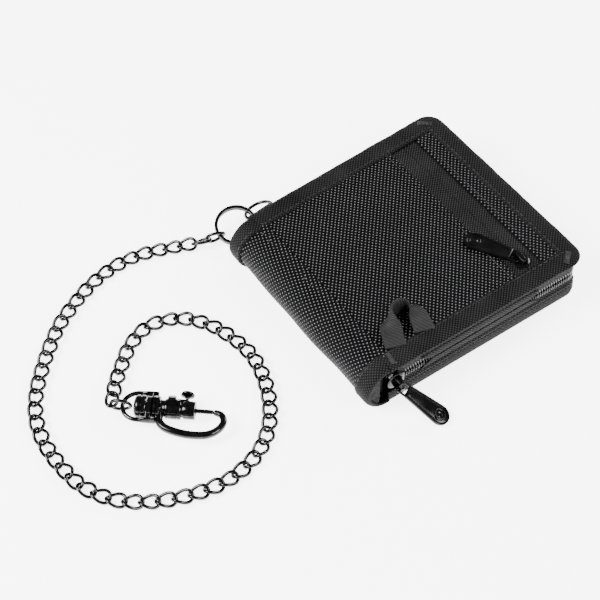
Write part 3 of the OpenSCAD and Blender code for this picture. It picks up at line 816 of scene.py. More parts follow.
FOLD_X = joint_point("cover_fold")[0]
OPEN_X = high("rear_binding")[0]
FRONT_Y = low("rear_binding")[1]
BACK_Y = high("rear_binding")[1]
FRONT_TOP = high("front_binding")[2]
REAR_WALL = high("rear_binding")[2]
SPINE_Z = joint_point("cover_fold")[2]
CORNER_R = 6.5
SPINE_PULL = 4.5     # the back edge leans towards the front by this much at the spine
BINDING_W = 7.8
SEAM_IN = 6.75       # from the edge to the bindings' row of stitches


def back_at(x):
    return BACK_Y - SPINE_PULL * (OPEN_X - x) / (OPEN_X - FOLD_X)


class Edge:
    """The wallet's three outer edges as one line, from the spine's front end round to its back end."""

    def __init__(self, start_x=FOLD_X):
        r = CORNER_R
        points = [[[start_x, FRONT_Y]]]
        for middle_y, first in ((FRONT_Y + r, -TAU / 4), (BACK_Y - r, 0)):
            a = np.linspace(first, first + TAU / 4, 40)
            points.append(np.stack([OPEN_X - r + r * np.cos(a), middle_y + r * np.sin(a)], axis=1))
        points = np.concatenate([*points, [[start_x, back_at(start_x)]]])
        self.length = run_length(points)[-1]
        self.s = np.linspace(0, self.length, int(self.length / 0.25))
        self.points = at_length(points, self.s)
        ahead = unit(np.gradient(self.points, axis=0))
        self.out = np.stack([ahead[:, 1], -ahead[:, 0]], axis=1)

    def place(self, s, d, z):
        """Points at distance s along the edge, d outside it and height z."""
        s, d, z = np.broadcast_arrays(np.asarray(s, float), d, z)
        xy = np.stack([np.interp(s, self.s, self.points[:, k]) for k in (0, 1)], axis=-1)
        out = unit(np.stack([np.interp(s, self.s, self.out[:, k]) for k in (0, 1)], axis=-1))
        return np.concatenate([xy + d[..., None] * out, z[..., None]], axis=-1)

    def row(self, d, z):
        """A line along nearly the whole edge, and the way out of the wallet at each of its points."""
        s = np.linspace(1, self.length - 1, 500)
        line = self.place(s, d, z)
        return line, self.place(s, d + 1, z) - line


EDGE = Edge()


def pairs(u, v):
    """A grid of (u, v) pairs."""
    return np.stack(np.broadcast_arrays(u, v), axis=-1)


def band(edge, profile, wave, step):
    """Points and UVs of a closed (d, z) profile carried along an edge."""
    s = np.linspace(0, edge.length, int(edge.length / step))[:, None]
    across = run_length(np.concatenate([profile, profile[:1]]))[:-1]
    d = profile[None, :, 0] + ripple(s, wave, 23)
    z = profile[None, :, 1] + ripple(s + 7, wave, 17) * (np.abs(profile[None, :, 0]) < 6.5)
    return edge.place(s, d, z), pairs(s, across)


def band_object(name, body, material, slot, nodes, points, uv):
    parts = Parts()
    parts.tube(points, uv=uv)
    return finish_piece(parts.object(name, 50), body, material, slot, *nodes)


def stitches(name, body, line, normal, length=2.1, space=0.9, r=0.2):
    """A row of thread stitches along a line on a surface. Each dips into the cloth at its ends."""
    along = run_length(line)
    parts = Parts()
    pitch = length + space
    sink = 0.02
    ring = circle_section(1.0, 7)
    # (share of the length, share of the thickness, lift) along half of the thread that shows
    half = [(-0.5, 0.35, -0.6), (-0.38, 0.85, -0.1), (-0.15, 1.0, 0.1)]
    profile = half + [(-x, w, lift) for x, w, lift in half[::-1]]
    for k in range(int((along[-1] - space) / pitch)):
        middle = space + (k + 0.5) * pitch
        up = np.array([np.interp(middle, along, normal[:, j]) for j in range(3)])
        m = frame_matrix(at_length(line, middle) - unit(up) * sink,
                         at_length(line, middle + 0.3) - at_length(line, middle - 0.3), up)
        parts.tube([[[x * length, c[0] * r * w, c[1] * r * w + lift * r] for c in ring]
                    for x, w, lift in profile], m)
    return finish_piece(parts.object(name, 60), body, THREAD, "binding_tape")


def up_normals(line, up=(0, 0, 1)):
    return np.broadcast_to(np.asarray(up, float), line.shape).copy()


# ---------------------------------------------------------------- bindings

def front_binding():
    top = FRONT_TOP
    profile = smooth_profile([
        (-7.8, top - 0.72), (-7.82, top - 0.2), (-7.3, top + 0.06), (-6.4, top - 0.02), (-4.5, top + 0.22),
        (-1.8, top + 0.24), (0.1, top - 0.1), (0.95, top - 0.5), (1.16, top - 0.95), (1.0, top - 1.5),
        (0.55, top - 1.8), (-0.2, top - 1.72), (-0.9, top - 1.3), (-3, top - 0.75)])
    points, uv = band(EDGE, profile, 0.12, 0.9)
    band_object("front_binding", "front_cover", BINDING, "binding_tape", ["front_binding"], points, uv)
    line, _ = EDGE.row(-SEAM_IN, top + 0.06)
    stitches("front_binding_stitches", "front_cover", line, up_normals(line))


def rear_binding():
    wall = REAR_WALL
    profile = smooth_profile([
        (-7.8, 0.85), (-7.85, 0.25), (-7.2, 0.02), (-3.0, 0.0), (-1.2, 0.15), (-0.2, 0.9), (0.3, 2.4),
        (0.42, 4.2), (0.22, 6.0), (-0.05, wall - 0.1), (-0.45, wall + 0.1), (-0.75, wall - 0.3),
        (-0.6, 5.0), (-0.65, 2.6), (-1.5, 1.05), (-3, 0.85)])
    points, uv = band(EDGE, profile, 0.0, 0.9)
    z = points[:, :, 2]
    points[:, :, 2] = np.maximum(z + ripple(uv[:, :, 0], 0.25, 31) * np.clip(z / wall, 0, 1), 0.0)
    band_object("rear_binding", "rear_half", BINDING, "binding_tape", ["rear_binding"], points, uv)
    stitches("rear_binding_stitches", "rear_half", *EDGE.row(0.05, wall - 1.0))
    under, _ = EDGE.row(-SEAM_IN, 0.34)
    stitches("rear_panel_stitches", "rear_half", under, up_normals(under, (0, 0, -1)))


def bartack(name, body, centre, direction, length):
    """A dense zigzag of thread that locks the end of a seam."""
    width, thread = 2.4, 0.42
    turns = int(length / thread)
    t = np.arange(turns + 1)
    line = np.stack([(t / turns - 0.5) * length, (t % 2 - 0.5) * width, 0.0 * t], axis=1)
    fine = at_length(line, np.linspace(0, run_length(line)[-1], turns * 8))
    fine[:, 2] = 0.16 * np.clip(1 - (np.abs(fine[:, 1]) / (width / 2)) ** 6, 0, 1)
    parts = Parts()
    parts.tube(sweep(fine, circle_section(0.19, 6)), frame_matrix(centre, direction, (0, 0, 1)))
    return finish_piece(parts.object(name, 60), body, THREAD_LIGHT, "binding_tape")


front_binding()
rear_binding()
for name, x, y, direction, length in (("bartack_front_open", 50.5, FRONT_Y + 3.2, (0.75, 0.66, 0), 6.5),
                                      ("bartack_back_open", 50.0, BACK_Y - 3.6, (0.8, -0.6, 0), 6.5),
                                      ("bartack_front_fold", FOLD_X + 3.2, FRONT_Y + 4.0, (0.1, 1, 0), 6.0)):
    bartack(name, "front_cover", (x, y, FRONT_TOP + 0.22), direction, length)


# ---------------------------------------------------------------- woven panels

def inside_edge(x, inset):
    """Front and back limits of a panel at x, inset from the outline, with its rounded corners."""
    r = max(CORNER_R - inset, 0.5)
    corner = np.clip(x - (OPEN_X - inset - r), 0, r)
    drop = r - np.sqrt(np.maximum(r * r - corner * corner, 0))
    return FRONT_Y + inset + drop, back_at(x) - inset - drop


def panel_grid(x0, x1, inset, step):
    """Rows of points over a panel between x0 and x1, from the front edge to the back one."""
    xs = np.linspace(x0, x1, max(int((x1 - x0) / step), 2))
    share = np.linspace(0, 1, int((BACK_Y - FRONT_Y) / step))
    front, back = inside_edge(xs, inset)
    ys = front[:, None] + (back - front)[:, None] * share[None, :]
    return np.broadcast_to(xs[:, None], ys.shape).copy(), ys


def sheet_points(x, y, top, bottom):
    """The upper and the lower points of a sheet, one after the other."""
    sides = [np.stack(np.broadcast_arrays(x, y, z), axis=-1) for z in (top, bottom)]
    return np.concatenate([side.reshape(-1, 3) for side in sides])


def closed_sheet(name, x, y, top, bottom):
    """A sheet with two sides and a rim, from its upper and lower heights. Its UVs are its X and Y."""
    upright = np.mean(np.diff(x, axis=0)) * np.mean(np.diff(y, axis=1)) > 0
    uv = np.concatenate([pairs(x, y).reshape(-1, 2)] * 2)
    return mesh_object(name, sheet_points(x, y, top, bottom), sheet_faces(*x.shape, upright), uv, 50)


SHEET_TOP = high("outer_pocket_panel")[2]
POCKET_EDGE = high("outer_pocket_panel")[0]
STRIP_EDGE = low("outer_strip")[0]
THREAD_RELIEF = 0.18
SHEET = 0.75         # thickness of the woven nylon
WEAVE_STEP = 0.31    # spacing of the mesh points that carry the weave


def relief(u, v):
    """The threads' height above and below the cloth's middle."""
    return THREAD_RELIEF * (weave_height(u, v) - 0.5)


def crown(x, y, x0, x1, height):
    """Height of a soft swell between two edges in X and the whole panel in Y."""
    u = np.clip((x - x0) / (x1 - x0), 0, 1)
    v = np.clip((y - FRONT_Y) / (BACK_Y - FRONT_Y), 0, 1)
    return height * np.sin(u * math.pi) ** 0.6 * np.sin(np.clip(v, 0.001, 0.999) * math.pi) ** 0.6


def across_pocket(x, z, edge_x):
    """A straight line from the front binding to the back one, at x and height z, for stitches."""
    ys = np.linspace(FRONT_Y + BINDING_W, back_at(edge_x) - BINDING_W, 200)
    return np.stack(np.broadcast_arrays(x, ys, z(ys)), axis=1)


def outer_pocket_panel():
    swell = 0.55
    x, y = panel_grid(FOLD_X - 0.6, POCKET_EDGE, 1.3, WEAVE_STEP)
    hem = np.clip((x - (POCKET_EDGE - 3.2)) / 0.8, 0, 1)
    lip = np.clip((x - (POCKET_EDGE - 0.7)) / 0.7, 0, 1)
    rise = crown(x, y, FOLD_X, POCKET_EDGE, swell)
    rise = rise + ripple(x * 0.6 + y, 0.1, 29) + ripple(y - x * 0.3, 0.07, 41)
    top = SHEET_TOP + rise * (1 - 0.5 * hem) + 0.3 * hem - 0.6 * lip**2 + relief(x, y)
    piece = closed_sheet("outer_pocket_panel", x, y, top, SHEET_TOP - SHEET)
    finish_piece(piece, "front_cover", NYLON, "ballistic_nylon", "outer_pocket_panel")
    mouth = POCKET_EDGE - 2.6
    line = across_pocket(mouth, lambda y: SHEET_TOP + crown(mouth, y, FOLD_X, POCKET_EDGE, swell) * 0.5 + 0.22,
                         POCKET_EDGE)
    stitches("pocket_mouth_stitches", "front_cover", line, up_normals(line), 1.7, 0.7, 0.16)


def outer_strip():
    x, y = panel_grid(STRIP_EDGE, OPEN_X - 1.3, 1.3, WEAVE_STEP)
    lip = np.clip((STRIP_EDGE + 0.7 - x) / 0.7, 0, 1)
    top = SHEET_TOP + crown(x, y, STRIP_EDGE - 3, OPEN_X, 0.35) - 0.5 * lip**2
    top = top + ripple(y, 0.08, 37) + relief(x, y)
    piece = closed_sheet("outer_strip", x, y, top, SHEET_TOP - SHEET)
    finish_piece(piece, "front_cover", NYLON, "ballistic_nylon", "outer_strip")
    line = across_pocket(STRIP_EDGE + 2.2, lambda y: SHEET_TOP + 0.28, STRIP_EDGE)
    stitches("strip_stitches", "front_cover", line, up_normals(line), 1.7, 0.7, 0.16)


def rear_panel():
    x, y = panel_grid(FOLD_X - 0.4, OPEN_X - 1.3, 1.3, 0.5)
    y = y[:, ::-1]
    edge = np.minimum(np.minimum(y - FRONT_Y, back_at(x) - y), OPEN_X - x)
    under_tape = np.clip((BINDING_W + 0.6 - edge) / 1.0, 0, 1)
    piece = closed_sheet("rear_panel", x, y, 1.6, 0.1 + 0.84 * under_tape - relief(x, y) * (1 - under_tape))
    finish_piece(piece, "rear_half", NYLON, "ballistic_nylon", "rear_panel")


outer_pocket_panel()
outer_strip()
rear_panel()


# ---------------------------------------------------------------- spine

SPINE_R = SPINE_Z - SHEET
SPINE_FRONT = low("spine_panel")[1]
SPINE_BACK = high("spine_panel")[1]
# The spine's two ends: where they are, and which way is into the wallet
SPINE_ENDS = (("front", FRONT_Y, 1), ("back", high("spine_bindings")[1], -1))
FLAP = 3.4          # the spine's sheet runs this far onto the two panels


def spine_surface(r, y, across):
    """Point on the spine at arc length across, measured from the rear panel's fold line to the front one's."""
    half = math.pi * r
    angle = math.pi * 1.5 - np.clip(across / half, 0, 1) * math.pi
    x = FOLD_X + r * np.cos(angle) + np.maximum(across - half, 0)
    return np.stack(np.broadcast_arrays(x, y, SPINE_Z + r * np.sin(angle)), axis=-1)


def spine_panel():
    half = math.pi * SPINE_R
    step = 0.34
    across = np.linspace(0, half + FLAP, int((half + FLAP) / step))
    ys = np.linspace(SPINE_FRONT + 1, SPINE_BACK - 1, int((SPINE_BACK - SPINE_FRONT) / step))
    a, y = np.meshgrid(across, ys, indexing="ij")
    # The spine's cloth is cut on the slant
    u, v = a * 0.94 + y * 0.34, y * 0.94 - a * 0.34
    bend = np.clip(a / half, 0, 1)
    wrinkle = 0.32 * np.sin(y / 13 + 2.2 * np.sin(a / 11)) + 0.2 * np.sin(y / 5.3 + a / 3.1)
    wrinkle = wrinkle * np.sin(bend * math.pi)
    on_panel = np.clip((a - half) / 1.0, 0, 1)
    outer = spine_surface(SPINE_R, y, a)
    centre = np.stack([np.maximum(outer[..., 0], FOLD_X), y, np.full(y.shape, SPINE_Z)], axis=-1)
    outer = outer + unit(outer - centre) * (wrinkle + relief(u, v) + SHEET * on_panel)[..., None]
    inner_r = SPINE_R - 0.8
    inner = spine_surface(inner_r, y, a * inner_r / SPINE_R)
    uv = pairs(u, v).reshape(-1, 2)
    piece = mesh_object("spine_panel", np.concatenate([outer.reshape(-1, 3), inner.reshape(-1, 3)]),
                        sheet_faces(*a.shape, True), np.concatenate([uv, uv]), 50)
    return finish_piece(piece, None, NYLON, "ballistic_nylon", "spine_panel")


def spine_bindings():
    """Tape folded over the two ends of the spine."""
    profile = smooth_profile([
        (7.8, -0.95), (7.85, -0.3), (7.3, 0.02), (4.2, 0.12), (1.6, 0.05), (0.2, -0.35), (-0.45, -1.2),
        (-0.4, -2.1), (0.3, -2.3), (0.9, -1.7), (4.0, -1.25)])
    across = run_length(np.concatenate([profile, profile[:1]]))[:-1]
    turn = np.linspace(-0.06, math.pi + 0.06, 70)[:, None]
    angle = math.pi * 1.5 - turn
    r = SPINE_Z + profile[None, :, 1] + 0.1 * np.sin(turn * 5)
    uv = pairs(turn * SPINE_Z, across)
    parts = Parts()
    for _, end, way in SPINE_ENDS:
        rings = np.stack(np.broadcast_arrays(FOLD_X + r * np.cos(angle), end + way * profile[None, :, 0],
                                             np.maximum(SPINE_Z + r * np.sin(angle), 0.0)), axis=-1)
        parts.tube(rings[:, ::-way], uv=uv[:, ::-way])
    return finish_piece(parts.object("spine_bindings", 50), None, BINDING, "binding_tape", "spine_bindings")


def spine_gusset(name, end, way):
    """Folded tape that closes the end of the spine, dished towards the zip's end."""
    angle = np.linspace(TAU / 4, 3 * TAU / 4, 60)
    r, a = np.meshgrid(np.linspace(0.0, SPINE_R - 0.3, 26), angle, indexing="ij")
    x, z = FOLD_X + r * np.cos(a), SPINE_Z + r * np.sin(a)
    dish = np.clip((x - (FOLD_X - 4.6)) / 3.4, 0, 1)
    y = end + way * (0.35 + 3.8 * dish * dish * (3 - 2 * dish)) + 0.18 * np.sin(a * 9) * (r / SPINE_R) ** 2
    front = np.stack([x, y, z], axis=-1).reshape(-1, 3)
    uv = pairs(r, a * SPINE_R).reshape(-1, 2)
    piece = mesh_object("spine_gusset_" + name, np.concatenate([front, front + (0, way * 0.6, 0)]),
                        sheet_faces(*x.shape, way > 0), np.concatenate([uv, uv]), 50)
    return finish_piece(piece, None, BINDING, "binding_tape")


def spine_stitches(name, end, way):
    angle = math.pi * 1.5 - np.linspace(0.02, math.pi - 0.02, 120)
    r = SPINE_Z + 0.02
    out = np.stack([np.cos(angle), 0 * angle, np.sin(angle)], axis=1)
    return stitches("spine_stitches_" + name, None, (FOLD_X, end + way * SEAM_IN, SPINE_Z) + r * out, out)


for soft in (spine_panel(), spine_bindings(), *(spine_stitches(*end) for end in SPINE_ENDS),
             *(spine_gusset(*end) for end in SPINE_ENDS)):
    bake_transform(soft)


# ---------------------------------------------------------------- edge zip

TAPE_D = -1.1        # the zip's tape lies this far inside the edge
ZIP_MIDDLE = high("edge_zip_coil_lower")[2] / 2 + low("edge_zip_coil_upper")[2] / 2


def edge_from(node):
    """The wallet's edge, from where a CAD node begins."""
    return Edge(start_x=low(node)[0])


def edge_tape(node, body, z0, z1):
    """Zip tape round the edge. The lower one swells out just above the binding, below the slider's way."""
    outer = [(TAPE_D, z0), (TAPE_D + 0.18, z0 * 0.6 + z1 * 0.4), (TAPE_D, z1)]
    if body == "rear_half":
        outer = [(TAPE_D, z0), (TAPE_D + 0.2, 4.5), (-0.35, REAR_WALL - 0.6), (0.05, REAR_WALL + 0.5),
                 (-0.05, REAR_WALL + 1.4), (-0.7, REAR_WALL + 2.3), (TAPE_D, z1 - 0.9), (TAPE_D, z1)]
    inner = [(TAPE_D - 0.35, z1 + 0.1)] + [(d - 0.6, z) for d, z in outer[::-1]]
    points, uv = band(edge_from(node), smooth_profile(outer + inner), 0.0, 1.2)
    z = points[:, :, 2]
    points[:, :, 2] = z + ripple(uv[:, :, 0], 0.12, 27) * np.clip((z - z0) * (z1 - z) * 0.2, 0, 1)
    band_object(node, body, ZIP_TAPE, "zip_tape", [node], points, uv)


COIL_PITCH = 1.3
COIL_REACH = 3.1     # from the middle of the closed zip to the backs of its teeth
HEAD_GAP = 0.35      # from the middle of the closed zip to the heads of its teeth


def edge_coil(node, body, side, shift):
    """One row of the edge zip: a continuous coil of monofilament sewn to the tape."""
    foot = ZIP_MIDDLE + side * COIL_REACH
    head = ZIP_MIDDLE + side * HEAD_GAP
    wire, coil_d = 0.31, -1.5
    edge = edge_from(node)
    length = edge.length - 12.5
    turns = int(length / COIL_PITCH)
    t = np.linspace(0, turns * TAU, turns * 14)
    z = (head + foot) / 2 + (abs(head - foot) / 2 - wire) * np.cos(t) * side
    line = edge.place(t / TAU * COIL_PITCH + shift, coil_d + 0.62 * np.sin(t), z)
    parts = Parts()
    parts.tube(sweep(line, circle_section(wire, 6) * (1.12, 1), up=(0.3, 0.2, 0.93)))
    # Stitched cord through the coil
    core = edge.place(np.linspace(0, length, 260), coil_d, (head + foot) / 2)
    parts.tube(sweep(core, circle_section(0.26, 6)))
    finish_piece(parts.object(node, 70), body, COIL, "zip_coil", node)


LIP_FROM, LIP_TO = 9.0, 72.0


def zip_lip(name, body, side, node):
    """Lip of the tape that covers the teeth, except by the slider and towards the open corner."""
    s = np.arange(LIP_FROM, LIP_TO, 0.9)[:, None]
    cover = np.clip(np.minimum(s - LIP_FROM, LIP_TO - s) / 6.0, 0, 1) ** 0.7
    head = HEAD_GAP + 0.05 + (1 - cover) * 3.0 + ripple(s, 0.08, 9)
    outline = np.array([(-0.26, 0.02), (-0.22, 0.3), (-0.24, 0.75), (-0.6, 1.0), (-0.9, 1.0), (-0.44, 0.75),
                        (-0.44, 0.0)])[::side]
    z = ZIP_MIDDLE + side * (head + outline[None, :, 1] * (4.2 - head))
    points = edge_from(node).place(s, outline[None, :, 0], z)
    band_object(name, body, ZIP_TAPE, "zip_tape", (), points, pairs(s, z))


def edge_zip():
    coil_low = low("edge_zip_coil_lower")[2]
    coil_high = high("edge_zip_coil_upper")[2]
    edge_tape("edge_zip_tape_lower", "rear_half", low("edge_zip_tape_lower")[2], coil_low + 0.6)
    edge_tape("edge_zip_tape_upper", "front_cover", coil_high - 0.6, high("edge_zip_tape_upper")[2])
    edge_coil("edge_zip_coil_lower", "rear_half", -1, 0.0)
    edge_coil("edge_zip_coil_upper", "front_cover", 1, COIL_PITCH / 2)
    zip_lip("edge_zip_lip_lower", "rear_half", -1, "edge_zip_coil_lower")
    zip_lip("edge_zip_lip_upper", "front_cover", 1, "edge_zip_coil_upper")
    for name, body, d, z in (("tape_stitches_base", "rear_half", 0.08, REAR_WALL + 0.8),
                             ("tape_stitches_upper", "front_cover", TAPE_D + 0.1, coil_high + 2.4)):
        stitches(name, body, *edge_from("edge_zip_tape_lower").row(d, z), 1.3, 0.9, 0.2)


edge_zip()


# ---------------------------------------------------------------- pocket zip

ZIP_X = joint_point("pocket_puller_swing")[0]
TAPE_TOP = high("pocket_zip_tapes")[2]
ZIP_FRONT = low("pocket_zip_tapes")[1]
ZIP_BACK = high("pocket_zip_tapes")[1]


def pocket_zip_tapes():
    """The zip's plain side: two tapes that meet, each with a row of ridges where the coil lies under it."""
    parts = Parts()
    across = np.concatenate([[0.12, 0.2], np.linspace(0.32, 2.4, 14), np.linspace(2.8, 9.0, 16)])
    d, y = np.meshgrid(across, np.arange(ZIP_FRONT, ZIP_BACK, 0.26), indexing="ij")
    row = np.clip(np.sin(np.clip((d - 0.2) / 2.0, 0, 1) * math.pi), 0, 1) ** 0.6
    for side in (-1, 1):
        tooth = np.cos((y / COIL_PITCH + 0.25 * side) * TAU) * 0.5 + 0.5
        z = TAPE_TOP + row * (0.1 + 0.2 * tooth**0.7) - 0.18 * np.clip((0.3 - d) / 0.2, 0, 1)
        z = z + 0.05 * np.cos(d * TAU / 1.1) * np.clip(d - 2.4, 0, 1)
        x = ZIP_X + side * d
        parts.add(sheet_points(x, y, z, TAPE_TOP - 0.5), sheet_faces(*x.shape, side > 0),
                  np.concatenate([pairs(x, y).reshape(-1, 2)] * 2))
    finish_piece(parts.object("pocket_zip_tapes", 60), "front_cover", ZIP_TAPE, "zip_tape", "pocket_zip_tapes")


def pocket_zip_coils():
    z = (low("pocket_zip_coils")[2] + high("pocket_zip_coils")[2]) / 2
    turns = int((ZIP_BACK - ZIP_FRONT) / COIL_PITCH)
    t = np.linspace(0, turns * TAU, turns * 10)
    parts = Parts()
    for side in (-1, 1):
        line = np.stack([ZIP_X + side * (1.45 + 0.72 * np.cos(t)), ZIP_FRONT + t / TAU * COIL_PITCH,
                         z + 0.28 * np.sin(t)], axis=1)
        parts.tube(sweep(line, circle_section(0.27, 6), up=(0.2, 0.9, 0.3)))
    finish_piece(parts.object("pocket_zip_coils", 70), "front_cover", COIL, "zip_coil", "pocket_zip_coils")


def crimped_stop(parts, m, length, width, height):
    """A bent metal clip with rounded edges."""
    clip = round_rect(length, width, 0.4, 3)
    levels = ((0.9, 0.0), (1.0, 0.15), (1.0, height * 0.7), (0.86, height * 0.95), (0.6, height))
    parts.tube(layers([(clip * k, z) for k, z in levels]), m)


def zip_stops():
    parts = Parts()
    for side in (-1, 1):
        for y in (ZIP_FRONT + 1.8, ZIP_BACK - 1.8):
            at = (ZIP_X + side * 2.2, y, TAPE_TOP - 0.05)
            crimped_stop(parts, frame_matrix(at, (1, 0, 0), (0, 0, 1)), 1.9, 1.7, 0.6)
    enamelled(parts, "pocket_zip_stops", "front_cover", "pocket_zip_stops")
    parts = Parts()
    a, b = low("edge_zip_stops"), high("edge_zip_stops")
    middle = (a[2] + b[2]) / 2
    for x, y, way in ((a[0] + 0.8, a[1] + 1.3, -1), (b[0] - 0.8, b[1] - 1.3, 1)):
        crimped_stop(parts, frame_matrix((x, y, middle), (1, 0, 0), (0, way, 0)), 1.6, 1.2, 1.3)
    enamelled(parts, "edge_zip_stops", "rear_half", "edge_zip_stops")


pocket_zip_tapes()
pocket_zip_coils()
zip_stops()


# ---------------------------------------------------------------- ribbon loop and tab

# Points of the loop's middle line, each with the direction of the ribbon's width
LOOP_PATH = [
    ((-37.4, -45.2, 23.6), (1, 0, 0.03)), ((-36.2, -42.0, 24.3), (0.99, -0.1, 0.05)),
    ((-34.6, -38.4, 25.3), (0.95, -0.25, 0.2)), ((-33.2, -34.8, 26.8), (0.62, 0.0, 0.8)),
    ((-30.2, -32.0, 27.7), (0.25, 0.05, 0.96)), ((-26.0, -31.4, 27.8), (-0.1, 0.05, 0.98)),
    ((-22.4, -33.0, 27.2), (-0.5, -0.05, 0.82)), ((-20.8, -36.6, 26.0), (-0.93, -0.05, 0.35)),
    ((-21.6, -41.4, 24.6), (-1, 0, 0.08)), ((-22.8, -45.4, 23.6), (-1, 0, 0.03))]


def strap(name, body, line, width_dir, left, right, thickness):
    """Ribbed ribbon along a line, from left to right of it along width_dir."""
    ahead = unit(np.gradient(line, axis=0))
    w = unit(width_dir - ahead * np.sum(width_dir * ahead, axis=1, keepdims=True))
    n = np.cross(ahead, w)
    s = run_length(line)
    left, right = (np.broadcast_to(d, s.shape)[:, None] for d in (left, right))
    share = np.linspace(0, 1, 11)
    rings, uvs = [], []
    for side in (1, -1):
        part = share[None, ::side]
        across = left + (right - left) * part
        edge = np.minimum(part, 1 - part)
        thick = thickness / 2 * np.where(edge < 0.04, 0.55, np.where(edge < 0.15, 1.15, 1.0))
        thick = thick + 0.09 * np.cos(s / RIB * TAU)[:, None]
        rings.append(line[:, None, :] + across[..., None] * w[:, None, :]
                     + side * thick[..., None] * n[:, None, :])
        uvs.append(pairs(s[:, None], across + RIBBON_WIDTH / 2))
    return band_object(name, body, RIBBON, "grosgrain", [name], np.concatenate(rings, axis=1),
                       np.concatenate(uvs, axis=1))


def ribbon_loop():
    fine = smooth_path([c + w for c, w in LOOP_PATH], 24)
    along = run_length(fine[:, :3])
    s = np.arange(0, along[-1], RIB / 5)
    line = np.stack([np.interp(s, along, fine[:, k]) for k in range(6)], axis=1)
    half = RIBBON_WIDTH / 2
    piece = strap("ribbon_loop", "front_cover", line[:, :3], line[:, 3:], -half, half, 0.85)
    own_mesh(piece)


def rotation(x=0.0, y=0.0, z=0.0):
    """Turns about X, then Y, then Z, in degrees."""
    return np.array(Matrix.Rotation(math.radians(z), 4, "Z") @ Matrix.Rotation(math.radians(y), 4, "Y")
                    @ Matrix.Rotation(math.radians(x), 4, "X"))


def tab_matrix():
    """Side-view frame of the tab: X towards the wallet, Y along the small ring's axis, Z across the tab."""
    m = rotation(y=TAB_RING_TILT, z=TAB_RING_TURN) @ rotation(x=90, z=158.8)
    m[:3, 3] = TAB_RING_AT
    return m


def ring_tab():
    """A strap folded round the small ring. Its two layers are sewn together and go in by the zip's tapes."""
    m = tab_matrix()
    fold_x, fold_r = 3.55, 1.55
    a = np.linspace(TAU / 4, 3 * TAU / 4, 24)
    lower = [(13.6, -1.9), (12.0, -1.62), (9.8, -0.62), (8.3, -1.25), (6.4, -1.5), (fold_x, -fold_r)]
    upper = [(13.6, -0.75), (12.0, -0.4), (9.8, 0.32), (8.3, 1.1), (6.4, 1.5), (fold_x, fold_r)]
    path = upper + [(fold_x + fold_r * math.cos(t), fold_r * math.sin(t)) for t in a[1:-1]] + lower[::-1]
    fine = smooth_path(path, 5)
    side = at_length(fine, np.arange(0, run_length(fine)[-1], RIB / 5))
    line = placed(np.column_stack([side, np.zeros(len(side))]), m)
    wide = m[:3, 2]
    # Trim lines of the tab as seen from above: it widens towards the wallet
    left_x = np.interp(line[:, 1], [50, 58.5], [-38.6, -35.4])
    ends = sorted([(x - line[:, 0]) / wide[0] for x in (left_x, -28.5)], key=lambda e: e.mean())
    strap("ring_tab", "rear_half", line, np.broadcast_to(wide, line.shape), *ends, 0.68)
    # Cross seam that closes the fold
    across = np.linspace(ends[0].mean() + 1.0, ends[1].mean() - 1.0, 40)
    top = placed(np.stack(np.broadcast_arrays(10.2, 0.72, across), axis=1), m)
    stitches("tab_stitches", "rear_half", top, up_normals(top, m[:3, 1]), 1.2, 0.5, 0.17)


ribbon_loop()
ring_tab()


# ---------------------------------------------------------------- sliders and pullers

def inset_ring(outline, d):
    """An outline moved inwards by d along its normals."""
    ahead = unit(np.roll(outline, -1, axis=0) - np.roll(outline, 1, axis=0))
    return outline + np.stack([-ahead[:, 1], ahead[:, 0]], axis=1) * d


def stack(outline, levels):
    """Rings of an outline at several (inset, height) levels."""
    return layers([(inset_ring(outline, d), z) for d, z in levels])


PULLER_L = 20.5
PULLER_W = 6.4
PULLER_END_R = 4.6
PULLER_T = 1.5


def puller_outline():
    """Tapered strip with a round end, anticlockwise."""
    near_x, near_half = 3.9, 3.1
    # tangent from the near end's corner to the round end
    reach = PULLER_L - near_x - 0.9
    lean = math.asin((PULLER_END_R - near_half) / math.hypot(reach, near_half)) + 0.02
    a = np.linspace(-TAU / 4 - lean, TAU / 4 + lean, 44)
    end = np.stack([PULLER_L + PULLER_END_R * np.cos(a), PULLER_END_R * np.sin(a)], axis=1)
    near = round_rect(3.0, 2 * near_half, 0.9, 4)
    left = near[near[:, 0] < -0.3] + (near_x + 1.5, 0)
    corner, start = left[0], end[-1]
    share = np.linspace(0, 1, 8)[1:-1, None]
    back = start + (corner - start) * share
    ahead = left[-1] + (end[0] - left[-1]) * share
    return np.concatenate([end, back, left, ahead])


